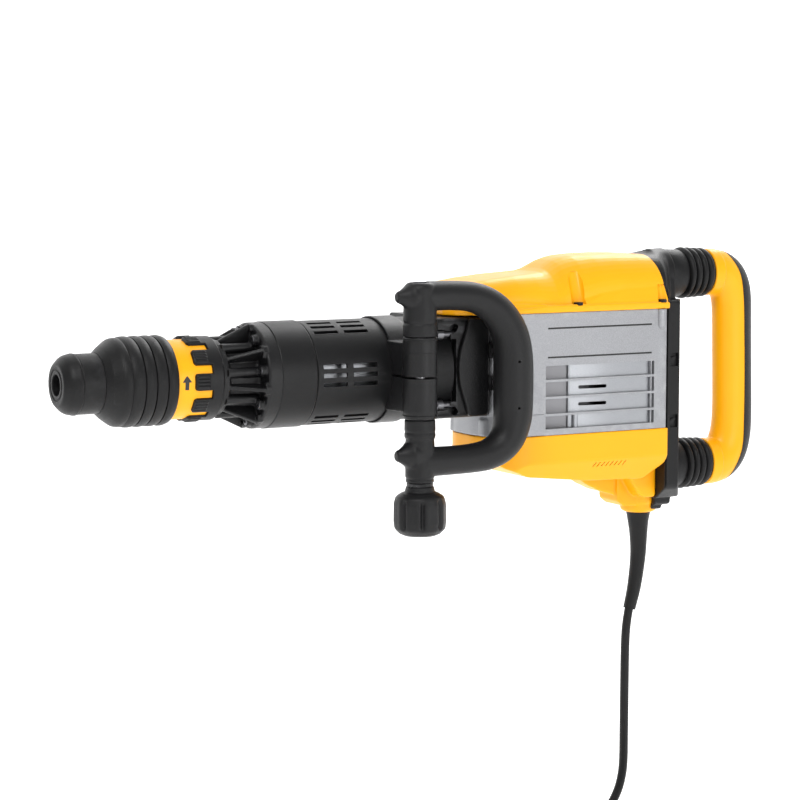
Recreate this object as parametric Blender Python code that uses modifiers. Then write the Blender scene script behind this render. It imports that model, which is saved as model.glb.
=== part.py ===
"""Mains demolition hammer, modelled as separate pieces on one shared frame.

Metres, +Z up.  The origin is on the barrel axis, in the middle of the length.  -X points to the
nose, where the chisel goes in, +X to the rear handle, and -Y is the side that carries the side grip.
"""
import math

import bmesh
import bpy
from mathutils import Matrix, Vector

# ---- general ---------------------------------------------------------------------------------
GAP = 0.0003            # clearance between pieces that touch
WALL = 0.003            # wall of a casting or moulding
INNER_STEPS = 16        # sides of a turned inner piece
OUTER_STEPS = 24        # sides of a turned outer piece
AXIS_X = Matrix.Rotation(math.radians(90), 4, "Y")    # turns a local Z axis into world X

# ---- chuck -----------------------------------------------------------------------------------
NOSE_X = -0.367
SHANK_RADIUS = 0.0093           # SDS-max socket, for an 18 mm shank
NECK_END_X = -0.330
NECK_RADIUS = 0.0275
SLEEVE_RADIUS = 0.0412
SLEEVE_END_X = -0.264
SLEEVE_GROOVES_X = (-0.2966, -0.2859, -0.2749)
COLLAR_RADIUS = 0.0365
COLLAR_FRONT_X = -0.2742
INDEX_RING_RADIUS = 0.0399
INDEX_RING_X = (-0.2475, -0.2188)
INDEX_SLOT_END_X = -0.2298
INDEX_PADS = 10
HOLDER_RADIUS = 0.0200
HOLDER_REAR_RADIUS = 0.0225
HOLDER_X = (-0.360, -0.150)

# ---- barrel ----------------------------------------------------------------------------------
FRONT_HOUSING_X = (-0.2182, -0.1660)
FLANGE_X = -0.1790
FLANGE_RADIUS = 0.0497
HUB_RADIUS = 0.0310
RIBS = 8
SCREW_ANGLE = 11.25             # first screw, degrees above the horizontal on the -Y side
SCREW_CIRCLE = 0.0425
COVER_SEAM_X = -0.1290
COVER_BORE = 0.0465
FRONT_COVER_RADIUS = 0.0500
REAR_COVER_RADIUS = 0.0492
BARREL_END_X = 0.0170
CYLINDER_BORE = 0.0280
CYLINDER_RADIUS = 0.0360
VENT_COLUMNS_X = ((-0.1232, -0.0982), (-0.0919, -0.0666))
VENT_ROWS_Z = (0.0095, 0.0010, -0.0075)
VENT_HEIGHT = 0.0040

# ---- hammer mechanism ------------------------------------------------------------------------
STROKE_RADIUS = 0.018
CRANK_X = 0.055
ROD_LENGTH = 0.083
WRIST_X = CRANK_X - STROKE_RADIUS - ROD_LENGTH
SLIDING_RADIUS = CYLINDER_BORE - GAP
SECOND_AXIS_X = 0.104
ARMATURE_X = 0.156
PINION_TEETH = 6
SECOND_TEETH = 30
SMALL_TEETH = 9
CRANK_TEETH = 21
CRANK_GEAR_Z = (0.022, 0.034)
SECOND_GEAR_Z = (0.037, 0.0468)

# ---- body ------------------------------------------------------------------------------------
BLOCK_X = (0.0175, 0.0545)
BLOCK_HALF_WIDTH = 0.0480
BLOCK_Z = (-0.0460, 0.0505)
BODY_X = (0.0548, 0.2595)
BODY_HALF_WIDTH = 0.0540
SEAM_TOP_Z = 0.0512
SEAM_LOW_Z = -0.0675
LOUVRE_X = (0.1155, 0.2425)
LOUVRE_Z = (-0.0615, 0.0)
SLATS_Z = (-0.0145, -0.0310, -0.0477)
SLAT = 0.0022
BOSS_X = 0.2620                 # axis of the cable boss
BOSS_RADIUS = 0.0190
BOSS_STEP_Z = -0.1265           # the boss reaches further back below this height
BOSS_END_Z = -0.1585
REAR_FACE_X = 0.2870

# ---- rear handle -----------------------------------------------------------------------------
ARM_Z = (0.0830, -0.1125)       # axes of the upper and lower arms
BOOT_X = (REAR_FACE_X + GAP, 0.3397)
BOOT_RADIUS = 0.0245
GRIP_HALF_WIDTH = 0.0175

# ---- side handle -----------------------------------------------------------------------------
SHAFT_X = -0.0380
SHAFT_Y = -0.0780
BAND_BORE = 0.0499              # clears the barrel cover's corners as the band turns
EAR_TOP_Z = 0.0362
EAR_LOW_Z = -0.0405
SPLIT_Z = (-0.0020, 0.0)
BOLT_RADIUS = 0.0050
LOOP_X = 0.0635                 # centre of the grip
LOOP_Z = (-0.0810, 0.0735)      # centres of the lower and upper arms
KNOB_Z = (-0.1496, -0.1036)
KNOB_RADIUS = 0.0245

# ---- mains lead ------------------------------------------------------------------------------
CORD_RADIUS = 0.0045
FLOOR_Z = -0.515
COIL_CENTRE = (0.195, -0.050)
COIL_RADIUS = 0.050             # middle of the turns
COIL_BUNDLE = 0.036             # width and height of the wound bundle
COIL_TOP_Z = FLOOR_Z + COIL_BUNDLE
RELIEF_POINTS = (               # centre line x, z and radius of the tapered strain relief
    (BOSS_X, -0.1590, 0.0125), (BOSS_X, -0.1680, 0.0108), (0.2625, -0.1830, 0.0091),
    (0.2622, -0.2055, 0.0079), (0.2582, -0.2350, 0.0071), (0.2522, -0.2590, 0.0063))
CORD_POINTS = (                 # hanging stretch of the lead: x, y, z
    (0.2516, 0.0, -0.2600), (0.2494, 0.0, -0.2720), (0.2480, 0.0, -0.2860),
    (0.2474, 0.0, -0.3060), (0.2472, 0.0, -0.3300), (0.2471, 0.0, -0.3600),
    (0.2470, 0.0, -0.3900), (0.2468, 0.0, -0.4150), (0.2450, 0.0, -0.4320),
    (0.2400, 0.0, -0.4480), (0.2310, 0.0, -0.4620), (0.2190, 0.0, -0.4710),
    (0.2060, 0.0, -0.4742), (0.1960, 0.0, -0.4742))

# ---- colours ---------------------------------------------------------------------------------
PALETTE = {
    "yellow_plastic": ((0.85, 0.42, 0.01), 0.38, 0.0),
    "black_plastic": ((0.022, 0.022, 0.024), 0.48, 0.0),
    "black_rubber": ((0.016, 0.016, 0.017), 0.70, 0.0),
    "black_casting": ((0.028, 0.028, 0.030), 0.42, 0.3),
    "cast_aluminium": ((0.42, 0.43, 0.45), 0.42, 0.8),
    "steel": ((0.50, 0.50, 0.52), 0.30, 1.0),
    "hardened_steel": ((0.33, 0.33, 0.35), 0.32, 1.0),
    "copper": ((0.60, 0.27, 0.12), 0.35, 1.0),
    "carbon": ((0.03, 0.03, 0.03), 0.80, 0.0),
}


# ---- scene and mesh helpers --------------------------------------------------------------------
def clear_scene():
    for thing in list(bpy.data.objects):
        bpy.data.objects.remove(thing, do_unlink=True)


def make_collection(name):
    made = bpy.data.collections.new(name)
    bpy.context.scene.collection.children.link(made)
    return made


def make_material(name):
    colour, roughness, metallic = PALETTE[name]
    made = bpy.data.materials.new(name)
    made.use_nodes = True
    shader = made.node_tree.nodes["Principled BSDF"]
    shader.inputs["Base Color"].default_value = (*colour, 1.0)
    shader.inputs["Roughness"].default_value = roughness
    shader.inputs["Metallic"].default_value = metallic
    return made


clear_scene()
PARTS = make_collection("demolition_hammer")
TOOLS = make_collection("cutters")
MATERIALS = {name: make_material(name) for name in PALETTE}


def place(thing, finish):
    """Put an object in the model with its material, or among the cutters when finish is None."""
    if finish is None:
        TOOLS.objects.link(thing)
        thing.hide_render = True
        thing.display_type = "WIRE"
    else:
        PARTS.objects.link(thing)
        thing.data.materials.append(MATERIALS[finish])
    return thing


def from_bmesh(name, shape, finish):
    mesh = bpy.data.meshes.new(name)
    shape.to_mesh(mesh)
    shape.free()
    return place(bpy.data.objects.new(name, mesh), finish)


def round_edges(thing, width, segments=2, angle=40):
    bevel = thing.modifiers.new("rounded", "BEVEL")
    bevel.width = width
    bevel.segments = segments
    bevel.limit_method = "ANGLE"
    bevel.angle_limit = math.radians(angle)
    return thing


def box(name, low, high, finish=None, rounding=0.0, segments=2):
    """A block between two corners."""
    low, high = Vector(low), Vector(high)
    shape = bmesh.new()
    bmesh.ops.create_cube(shape, size=1.0)
    bmesh.ops.scale(shape, vec=high - low, verts=shape.verts)
    thing = from_bmesh(name, shape, finish)
    thing.location = (low + high) / 2
    if rounding:
        round_edges(thing, rounding, segments)
    return thing


def cylinder(name, start, end, radius, finish=None, sides=INNER_STEPS):
    """A round bar between two points, which lie along a world axis."""
    start, end = Vector(start), Vector(end)
    shape = bmesh.new()
    bmesh.ops.create_cone(shape, cap_ends=True, segments=sides, radius1=radius, radius2=radius,
                          depth=(end - start).length)
    thing = from_bmesh(name, shape, finish)
    turn = Vector((0, 0, 1)).rotation_difference((end - start).normalized())
    thing.matrix_world = Matrix.Translation((start + end) / 2) @ turn.to_matrix().to_4x4()
    return thing


def turned(name, profile, finish=None, steps=INNER_STEPS, place_at=None):
    """Turn a profile of (station, radius) pairs; without place_at the axis is the barrel axis."""
    loop = [Vector((radius, 0.0, station)) for station, radius in profile]
    turns = zip(loop, loop[1:] + loop[:1])
    area = sum(a.x * b.z - b.x * a.z for a, b in turns)
    if area > 0:
        loop.reverse()
    shape = bmesh.new()
    verts = [shape.verts.new(point) for point in loop]
    on_axis = loop[0].x < 1e-6 and loop[-1].x < 1e-6
    for index in range(len(verts) - 1):
        shape.edges.new((verts[index], verts[index + 1]))
    if not on_axis:
        shape.edges.new((verts[-1], verts[0]))
    thing = from_bmesh(name, shape, finish)
    screw = thing.modifiers.new("turned", "SCREW")
    screw.axis = "Z"
    screw.steps = steps
    screw.render_steps = steps
    screw.use_merge_vertices = True
    screw.merge_threshold = 1e-5
    thing.matrix_world = AXIS_X if place_at is None else Matrix.Translation(place_at)
    return thing


def tube(station_a, station_b, bore, radius):
    """Profile of a plain tube."""
    return [(station_a, bore), (station_a, radius), (station_b, radius), (station_b, bore)]


def mesh_from_curve(curve_object, finish):
    """Turn an evaluated curve into a closed mesh object in the same place."""
    bpy.context.view_layer.update()
    evaluated = curve_object.evaluated_get(bpy.context.evaluated_depsgraph_get())
    mesh = bpy.data.meshes.new_from_object(evaluated)
    shape = bmesh.new()
    shape.from_mesh(mesh)
    bmesh.ops.remove_doubles(shape, verts=shape.verts, dist=1e-6)
    bmesh.ops.recalc_face_normals(shape, faces=shape.faces)
    name = curve_object.name
    where = curve_object.matrix_world.copy()
    bpy.data.objects.remove(curve_object, do_unlink=True)
    bpy.data.meshes.remove(mesh)
    thing = from_bmesh(name, shape, finish)
    thing.matrix_world = where
    return thing


def slab(name, outline, low, high, finish=None, across="Y", rounding=0.0, segments=2):
    """Extrude a flat outline: of x, z across Y; of x, y across Z; or of y, z across X."""
    curve = bpy.data.curves.new(name, "CURVE")
    curve.dimensions = "2D"
    curve.fill_mode = "BOTH"
    curve.extrude = (high - low) / 2
    spline = curve.splines.new("POLY")
    spline.points.add(len(outline) - 1)
    for point, (first, second) in zip(spline.points, outline):
        point.co = (first, second, 0.0, 1.0)
    spline.use_cyclic_u = True
    curve_object = bpy.data.objects.new(name, curve)
    bpy.context.scene.collection.objects.link(curve_object)
    middle = (low + high) / 2
    if across == "Y":
        curve_object.matrix_world = Matrix.Translation((0, middle, 0)) @ Matrix.Rotation(
            math.radians(90), 4, "X")
    elif across == "Z":
        curve_object.matrix_world = Matrix.Translation((0, 0, middle))
    else:
        stand = Matrix(((0, 0, 1, 0), (1, 0, 0, 0), (0, 1, 0, 0), (0, 0, 0, 1)))
        curve_object.matrix_world = Matrix.Translation((middle, 0, 0)) @ stand
    thing = mesh_from_curve(curve_object, finish)
    if rounding:
        round_edges(thing, rounding, segments)
    return thing


def rounded(corners, arc_steps=4):
    """An outline whose corners, given as (first, second, radius), are rounded with arcs."""
    outline = []
    count = len(corners)
    for index, (first, second, radius) in enumerate(corners):
        here = Vector((first, second))
        if radius <= 0:
            outline.append((first, second))
            continue
        before = Vector(corners[index - 1][:2]) - here
        after = Vector(corners[(index + 1) % count][:2]) - here
        half = before.angle(after) / 2
        reach = min(radius / math.tan(half), 0.49 * before.length, 0.49 * after.length)
        start = here + before.normalized() * reach
        end = here + after.normalized() * reach
        for step in range(arc_steps + 1):
            t = step / arc_steps
            bend = start * (1 - t) ** 2 + here * 2 * t * (1 - t) + end * t ** 2
            outline.append((bend.x, bend.y))
    return outline


def toothed(centre, teeth, tip, depth, share=0.5):
    """Outline of a wheel with straight-sided teeth; share is the width of a tooth at its tip."""
    outline = []
    pitch = 2 * math.pi / teeth
    for tooth in range(teeth):
        middle = tooth * pitch
        for offset, radius in ((-0.72, tip - depth), (-0.38, tip), (0.38, tip), (0.72, tip - depth)):
            angle = middle + offset * share * pitch
            outline.append((centre[0] + radius * math.cos(angle), centre[1] + radius * math.sin(angle)))
    return outline


def swept(name, points, radii, finish=None, sides=2):
    """A round bar along points, with its own radius at each of them."""
    curve = bpy.data.curves.new(name, "CURVE")
    curve.dimensions = "3D"
    curve.bevel_depth = 1.0
    curve.bevel_resolution = sides
    curve.use_fill_caps = True
    spline = curve.splines.new("POLY")
    spline.points.add(len(points) - 1)
    for point, place_at, radius in zip(spline.points, points, radii):
        point.co = (*place_at, 1.0)
        point.radius = radius
    curve_object = bpy.data.objects.new(name, curve)
    bpy.context.scene.collection.objects.link(curve_object)
    return mesh_from_curve(curve_object, finish)


def combine(thing, tool, operation):
    boolean = thing.modifiers.new(operation.lower(), "BOOLEAN")
    boolean.operation = operation
    boolean.object = tool
    return thing


def cut(thing, *tools):
    for tool in tools:
        combine(thing, tool, "DIFFERENCE")
    return thing


def join(thing, *tools):
    for tool in tools:
        combine(thing, tool, "UNION")
    return thing


def about_barrel(thing, degrees):
    """Turn a finished piece round the barrel axis."""
    bpy.context.view_layer.update()
    thing.matrix_world = Matrix.Rotation(math.radians(degrees), 4, "X") @ thing.matrix_world
    return thing


def coil_spring(name, start_x, end_x, centre_z, mean_radius, wire_radius, turns, finish):
    steps = 8
    points = []
    for index in range(turns * steps + 1):
        angle = 2 * math.pi * index / steps
        x = start_x + (end_x - start_x) * index / (turns * steps)
        points.append((x, mean_radius * math.cos(angle), centre_z + mean_radius * math.sin(angle)))
    return swept(name, points, [wire_radius] * len(points), finish, sides=1)


# ---- chuck -------------------------------------------------------------------------------------
def build_chuck():
    turned("nose_cap", [
        (NOSE_X, 0.0098), (NOSE_X, 0.0185), (-0.3650, 0.0225), (-0.3610, 0.0258),
        (-0.3560, 0.0278), (-0.3515, 0.0281), (-0.3508, NECK_RADIUS), (NECK_END_X, NECK_RADIUS),
        (NECK_END_X, HOLDER_RADIUS + GAP), (HOLDER_X[0] - GAP, HOLDER_RADIUS + GAP),
        (HOLDER_X[0] - GAP, 0.0098)], "black_rubber", OUTER_STEPS)
    holder = turned("tool_holder", [
        (HOLDER_X[0], SHANK_RADIUS), (HOLDER_X[0], HOLDER_RADIUS), (-0.2760, HOLDER_RADIUS),
        (-0.2760, HOLDER_REAR_RADIUS), (HOLDER_X[1], HOLDER_REAR_RADIUS), (HOLDER_X[1], 0.0170),
        (-0.1965, 0.0170), (-0.1965, 0.0115), (-0.2620, 0.0115), (-0.2620, SHANK_RADIUS)],
        "hardened_steel")
    for side, name in ((1, "upper"), (-1, "lower")):
        window = sorted((side * 0.0080, side * 0.0220))
        cut(holder, box(f"{name}_window", (-0.3255, -0.0052, window[0]), (-0.2995, 0.0052, window[1])))
        cylinder(f"locking_roller_{name}", (-0.3245, 0, side * 0.0149), (-0.3005, 0, side * 0.0149),
                 0.0046, "hardened_steel", 16)
    outer = [(NECK_END_X + GAP, 0.0278), (-0.3250, 0.0328), (-0.3190, 0.0376),
             (-0.3130, 0.0404), (-0.3085, SLEEVE_RADIUS)]
    for groove in SLEEVE_GROOVES_X:
        outer += [(groove - 0.0010, SLEEVE_RADIUS), (groove, SLEEVE_RADIUS - 0.0009),
                  (groove + 0.0010, SLEEVE_RADIUS)]
    outer += [(SLEEVE_END_X - 0.0015, SLEEVE_RADIUS), (SLEEVE_END_X, SLEEVE_RADIUS - 0.0012)]
    inner = [(SLEEVE_END_X, COLLAR_RADIUS + 0.0007), (-0.2985, COLLAR_RADIUS + 0.0007),
             (-0.2985, HOLDER_RADIUS + 0.0006), (NECK_END_X + GAP, HOLDER_RADIUS + 0.0006)]
    turned("locking_sleeve", outer + inner, "black_rubber", OUTER_STEPS)
    coil_spring("locking_spring", -0.2968, -0.2758, 0.0, 0.0270, 0.0012, 3, "steel")
    turned("index_collar", tube(COLLAR_FRONT_X, INDEX_RING_X[1], HOLDER_REAR_RADIUS + GAP,
                                COLLAR_RADIUS), "yellow_plastic", OUTER_STEPS)
    ring = turned("index_ring", tube(*INDEX_RING_X, COLLAR_RADIUS + GAP, INDEX_RING_RADIUS),
                  "black_plastic", OUTER_STEPS)
    for pad in range(INDEX_PADS):
        slot = box(f"index_slot_{pad}", (INDEX_RING_X[0] - 0.001, -0.0042, 0.030),
                   (INDEX_SLOT_END_X, 0.0042, 0.045))
        cut(ring, about_barrel(slot, 360 * (pad + 0.5) / INDEX_PADS + 90))


# ---- barrel ------------------------------------------------------------------------------------
def build_front_housing():
    front, rear = FRONT_HOUSING_X
    housing = turned("front_housing", [
        (front, HOLDER_REAR_RADIUS + GAP), (front, 0.0350), (-0.2125, 0.0350),
        (-0.2120, HUB_RADIUS), (FLANGE_X, HUB_RADIUS), (FLANGE_X, 0.0482), (-0.1775, FLANGE_RADIUS),
        (rear, FLANGE_RADIUS), (rear, 0.0462), (-0.1480, 0.0462),
        (-0.1480, HOLDER_REAR_RADIUS + GAP)], "black_casting", OUTER_STEPS)
    rib = [(front + 0.002, HUB_RADIUS - 0.002), (front + 0.002, 0.0338), (-0.1820, 0.0492),
           (FLANGE_X + 0.002, 0.0492), (FLANGE_X + 0.002, HUB_RADIUS - 0.002)]
    for index in range(RIBS):
        fin = slab(f"rib_{index}", rib, -0.0018, 0.0018)
        angle = 90 - SCREW_ANGLE + 360 * (index + 0.5) / RIBS
        join(housing, about_barrel(fin, angle))
    for index in range(RIBS):
        angle = math.radians(SCREW_ANGLE + 360 * index / RIBS)
        y, z = -SCREW_CIRCLE * math.cos(angle), SCREW_CIRCLE * math.sin(angle)
        cut(housing, cylinder(f"screw_hole_{index}", (-0.181, y, z), (-0.1672, y, z), 0.0023, sides=10))
        if index % 2 == 0:
            screw = cylinder(f"front_screw_{index // 2 + 1}", (-0.1834, y, z),
                             (FLANGE_X - GAP, y, z), 0.0036, "steel", 12)
            shank = cylinder(f"front_shank_{index}", (-0.1800, y, z), (-0.1680, y, z), 0.0020, sides=8)
            join(screw, shank)


def build_barrel():
    turned("barrel_front_cover", [
        (FRONT_HOUSING_X[1] + GAP, COVER_BORE), (FRONT_HOUSING_X[1] + GAP, 0.0494),
        (-0.1650, FRONT_COVER_RADIUS), (COVER_SEAM_X - 0.0012, FRONT_COVER_RADIUS),
        (COVER_SEAM_X - GAP, 0.0494), (COVER_SEAM_X - GAP, COVER_BORE)], "black_plastic", OUTER_STEPS)
    cover = turned("barrel_rear_cover", [
        (COVER_SEAM_X, COVER_BORE), (COVER_SEAM_X, 0.0486), (COVER_SEAM_X + 0.0012, REAR_COVER_RADIUS),
        (BARREL_END_X - 0.0010, REAR_COVER_RADIUS), (BARREL_END_X, 0.0484),
        (BARREL_END_X, COVER_BORE)], "black_plastic", OUTER_STEPS)
    for column, (start, end) in enumerate(VENT_COLUMNS_X):
        for row, z in enumerate(VENT_ROWS_Z):
            cut(cover, box(f"vent_{column}_{row}", (start, -0.06, z - VENT_HEIGHT / 2),
                           (end, 0.06, z + VENT_HEIGHT / 2)))
    turned("cylinder_tube", tube(-0.1470, 0.0195, CYLINDER_BORE, CYLINDER_RADIUS), "steel")


def build_hammer():
    turned("beat_piece", [(-0.2320, 0.0), (-0.2320, 0.0095), (-0.2300, 0.0112), (-0.1870, 0.0112),
                          (-0.1870, 0.0166), (-0.1495, 0.0166), (-0.1480, 0.0150), (-0.1480, 0.0)],
           "hardened_steel")
    turned("ram", [(-0.1300, 0.0), (-0.1300, 0.0130), (-0.1240, 0.0150), (-0.1220, SLIDING_RADIUS),
                   (-0.0820, SLIDING_RADIUS), (-0.0820, 0.0)], "hardened_steel")
    piston = turned("piston", [(-0.0765, 0.0), (-0.0765, SLIDING_RADIUS), (-0.0265, SLIDING_RADIUS),
                               (-0.0265, 0.0)], "cast_aluminium")
    cut(piston, box("rod_slot", (-0.0600, -0.0140, -0.0088), (-0.0200, 0.0140, 0.0088)),
        cylinder("wrist_bore", (WRIST_X, 0, -0.03), (WRIST_X, 0, 0.03), 0.0063, sides=16))
    cylinder("wrist_pin", (WRIST_X, 0, -0.0215), (WRIST_X, 0, 0.0215), 0.0060, "steel", 16)
    rod = box("connecting_rod", (WRIST_X, -0.0065, -0.0060), (WRIST_X + ROD_LENGTH, 0.0065, 0.0060),
              "cast_aluminium")
    big_x = WRIST_X + ROD_LENGTH
    join(rod, cylinder("small_end", (WRIST_X, 0, -0.008), (WRIST_X, 0, 0.008), 0.0105, sides=20),
         cylinder("big_end", (big_x, 0, -0.0079), (big_x, 0, 0.0079), 0.0110, sides=20))
    cut(rod, cylinder("small_eye", (WRIST_X, 0, -0.01), (WRIST_X, 0, 0.01), 0.0063, sides=16),
        cylinder("big_eye", (big_x, 0, -0.01), (big_x, 0, 0.01), 0.0060, sides=16))


def build_gears():
    crank = slab("crank_gear", toothed((CRANK_X, 0), CRANK_TEETH, 0.0335, 0.0025), *CRANK_GEAR_Z,
                 "hardened_steel", across="Z")
    pin_x = CRANK_X - STROKE_RADIUS
    join(crank, cylinder("crank_pin", (pin_x, 0, 0.0090), (pin_x, 0, 0.0230), 0.0055, sides=16),
         cylinder("crank_journal", (CRANK_X, 0, 0.0330), (CRANK_X, 0, 0.0470), 0.0050, sides=16))
    second = slab("intermediate_gear", toothed((SECOND_AXIS_X, 0), SECOND_TEETH, 0.0425, 0.0022),
                  *SECOND_GEAR_Z, "hardened_steel", across="Z")
    small = toothed((SECOND_AXIS_X, 0), SMALL_TEETH, 0.0142, 0.0025)
    join(second, slab("small_gear", small, 0.0215, 0.0375, across="Z"),
         cylinder("second_shaft", (SECOND_AXIS_X, 0, 0.0155), (SECOND_AXIS_X, 0, 0.0400), 0.0050,
                  sides=16))


# ---- gear and motor housings -------------------------------------------------------------------
def build_gear_housing():
    block = box("gear_housing", (BLOCK_X[0], -BLOCK_HALF_WIDTH, BLOCK_Z[0]),
                (BLOCK_X[1], BLOCK_HALF_WIDTH, BLOCK_Z[1]), "black_casting", 0.004)
    cut(block, box("gear_space", (BLOCK_X[0] + WALL, -BLOCK_HALF_WIDTH + WALL, BLOCK_Z[0] + WALL),
                   (BLOCK_X[1] + 0.01, BLOCK_HALF_WIDTH - WALL, BLOCK_Z[1] - WALL)),
        cylinder("cylinder_seat", (0.0, 0, 0), (0.030, 0, 0), CYLINDER_RADIUS + 0.0004, sides=40))
    bulge = [(0.031, 0.0490, 0.002), (0.0525, 0.0490, 0.006), (0.0525, -0.0445, 0.006),
             (0.031, -0.0445, 0.002), (0.0150, 0.0022, 0.100)]
    for side, name in ((-1, "left"), (1, "right")):
        faces = sorted((side * (BLOCK_HALF_WIDTH + GAP), side * 0.0528))
        slab(f"side_plate_{name}", rounded(bulge, 6), *faces, "black_casting", rounding=0.0015,
             segments=1)
        for z, level in ((0.0345, "upper"), (-0.0330, "lower")):
            y = side * 0.0435
            bolt = cylinder(f"flange_bolt_{level}_{name}", (-0.0020, y, z), (0.0050, y, z), 0.0058,
                            "steel", 6)
            join(bolt, cylinder(f"shank_{level}_{name}", (0.0040, y, z), (BLOCK_X[0] - GAP, y, z),
                                0.0032, sides=10))


def build_motor_housing():
    low, high = BODY_X
    outline = rounded([(low, -BODY_HALF_WIDTH, 0.012), (high, -BODY_HALF_WIDTH, 0.006),
                       (high, BODY_HALF_WIDTH, 0.006), (low, BODY_HALF_WIDTH, 0.012)])
    housing = slab("motor_housing", outline, SEAM_LOW_Z, SEAM_TOP_Z, "cast_aluminium", across="Z")
    side = BODY_HALF_WIDTH - WALL
    inner = rounded([(low + WALL, -side, 0.009), (high - WALL, -side, 0.004),
                     (high - WALL, side, 0.004), (low + WALL, side, 0.009)])
    cut(housing,
        slab("motor_space_low", inner, -0.08, 0.0150, across="Z"),
        slab("motor_space_high", inner, 0.0205, 0.06, across="Z"),
        box("gear_window", (low - 0.01, -0.040, -0.0300), (low + 0.01, 0.040, 0.060)),
        cylinder("crank_room", (CRANK_X, 0, 0.0), (CRANK_X, 0, 0.0220), 0.0360, sides=32),
        cylinder("bearing_seat", (ARMATURE_X, 0, 0.0), (ARMATURE_X, 0, 0.03), 0.0163, sides=32),
        cylinder("second_seat", (SECOND_AXIS_X, 0, 0.0), (SECOND_AXIS_X, 0, 0.03), 0.0053, sides=16))
    edges = [LOUVRE_Z[1]]
    for slat in SLATS_Z:
        edges += [slat + SLAT / 2, slat - SLAT / 2]
    edges.append(LOUVRE_Z[0])
    for index in range(0, len(edges), 2):
        cut(housing, box(f"louvre_{index}", (LOUVRE_X[0], -0.07, edges[index + 1]),
                         (LOUVRE_X[1], 0.07, edges[index])))


def build_motor():
    centre = (ARMATURE_X, 0, 0)
    shaft = cylinder("armature_shaft", (ARMATURE_X, 0, -0.1030), (ARMATURE_X, 0, 0.0380), 0.0060,
                     "hardened_steel", 16)
    pinion = toothed((ARMATURE_X, 0), PINION_TEETH, 0.0085, 0.0018)
    join(shaft, slab("pinion", pinion, 0.0370, 0.0480, across="Z"))
    core = slab("armature_core", toothed((ARMATURE_X, 0), 12, 0.0255, 0.0030, 0.68), -0.0480, -0.0020,
                "steel", across="Z")
    cut(core, cylinder("core_bore", (ARMATURE_X, 0, -0.06), (ARMATURE_X, 0, 0.01), 0.0063, sides=16))
    turned("commutator", tube(-0.0780, -0.0560, 0.0063, 0.0145), "copper", place_at=centre)
    turned("stator", tube(-0.0500, 0.0, 0.0262, 0.0450), "steel", place_at=centre)
    turned("motor_bearing_upper", tube(0.0153, 0.0263, 0.0063, 0.0160), "steel", place_at=centre)
    turned("motor_bearing_lower", tube(-0.1036, -0.0936, 0.0063, 0.0130), "steel", place_at=centre)
    fan = turned("cooling_fan", [(0.0110, 0.0063), (0.0110, 0.0400), (0.0130, 0.0400),
                                 (0.0130, 0.0120), (0.0140, 0.0100), (0.0140, 0.0063)],
                 "black_plastic", place_at=centre)
    for blade in range(9):
        angle = math.radians(40 * blade)
        vane = box(f"vane_{blade}", (0.0140, -0.0010, 0.0030), (0.0385, 0.0010, 0.0115))
        bpy.context.view_layer.update()
        vane.matrix_world = (Matrix.Translation(centre) @ Matrix.Rotation(angle, 4, "Z")
                             @ vane.matrix_world)
        join(fan, vane)
    for side, name in ((-1, "left"), (1, "right")):
        faces = sorted((side * 0.0149, side * 0.0300))
        box(f"carbon_brush_{name}", (ARMATURE_X - 0.0035, faces[0], -0.0720),
            (ARMATURE_X + 0.0035, faces[1], -0.0620), "carbon")


# ---- covers ------------------------------------------------------------------------------------
def cover_section(width, top, rounding, steps=5):
    """Half-round section of the top cover, from its left lower edge over the top to the right."""
    base = SEAM_TOP_Z + GAP
    section = [(-width, base), (-width, base + 0.006)]
    shoulder = width - 0.004
    for step in range(steps + 1):
        angle = math.radians(90 * step / steps)
        section.append((-(shoulder - rounding) - rounding * math.cos(angle),
                        top - rounding + rounding * math.sin(angle)))
    return section + [(-y, z) for y, z in reversed(section)]


def build_top_cover():
    stations = (             # x, half width, top height, rounding of the shoulder
        (0.0020, 0.0400, 0.0660, 0.012), (0.0080, 0.0440, 0.0740, 0.016),
        (0.0220, 0.0480, 0.0800, 0.020), (0.0600, 0.0510, 0.0835, 0.022),
        (0.0900, 0.0535, 0.0865, 0.024), (0.1230, 0.0540, 0.0900, 0.026),
        (0.1390, 0.0540, 0.1005, 0.030), (0.1600, 0.0540, 0.1045, 0.032),
        (0.2000, 0.0540, 0.1055, 0.032), (0.2450, 0.0530, 0.1045, 0.030),
        (BODY_X[1], 0.0520, 0.1030, 0.028))
    shape = bmesh.new()
    rows = []
    for x, width, top, rounding in stations:
        rows.append([shape.verts.new((x, y, z)) for y, z in cover_section(width, top, rounding)])
    for first, second in zip(rows, rows[1:]):
        for index in range(len(first) - 1):
            shape.faces.new((first[index], first[index + 1], second[index + 1], second[index]))
    front = rows[0]
    shape.faces.new(list(reversed(front)))
    bmesh.ops.recalc_face_normals(shape, faces=shape.faces)
    cover = from_bmesh("top_cover", shape, "yellow_plastic")
    skin = cover.modifiers.new("skin", "SOLIDIFY")
    skin.thickness = 0.0025
    skin.offset = -1.0
    skin.use_even_offset = True


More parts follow.
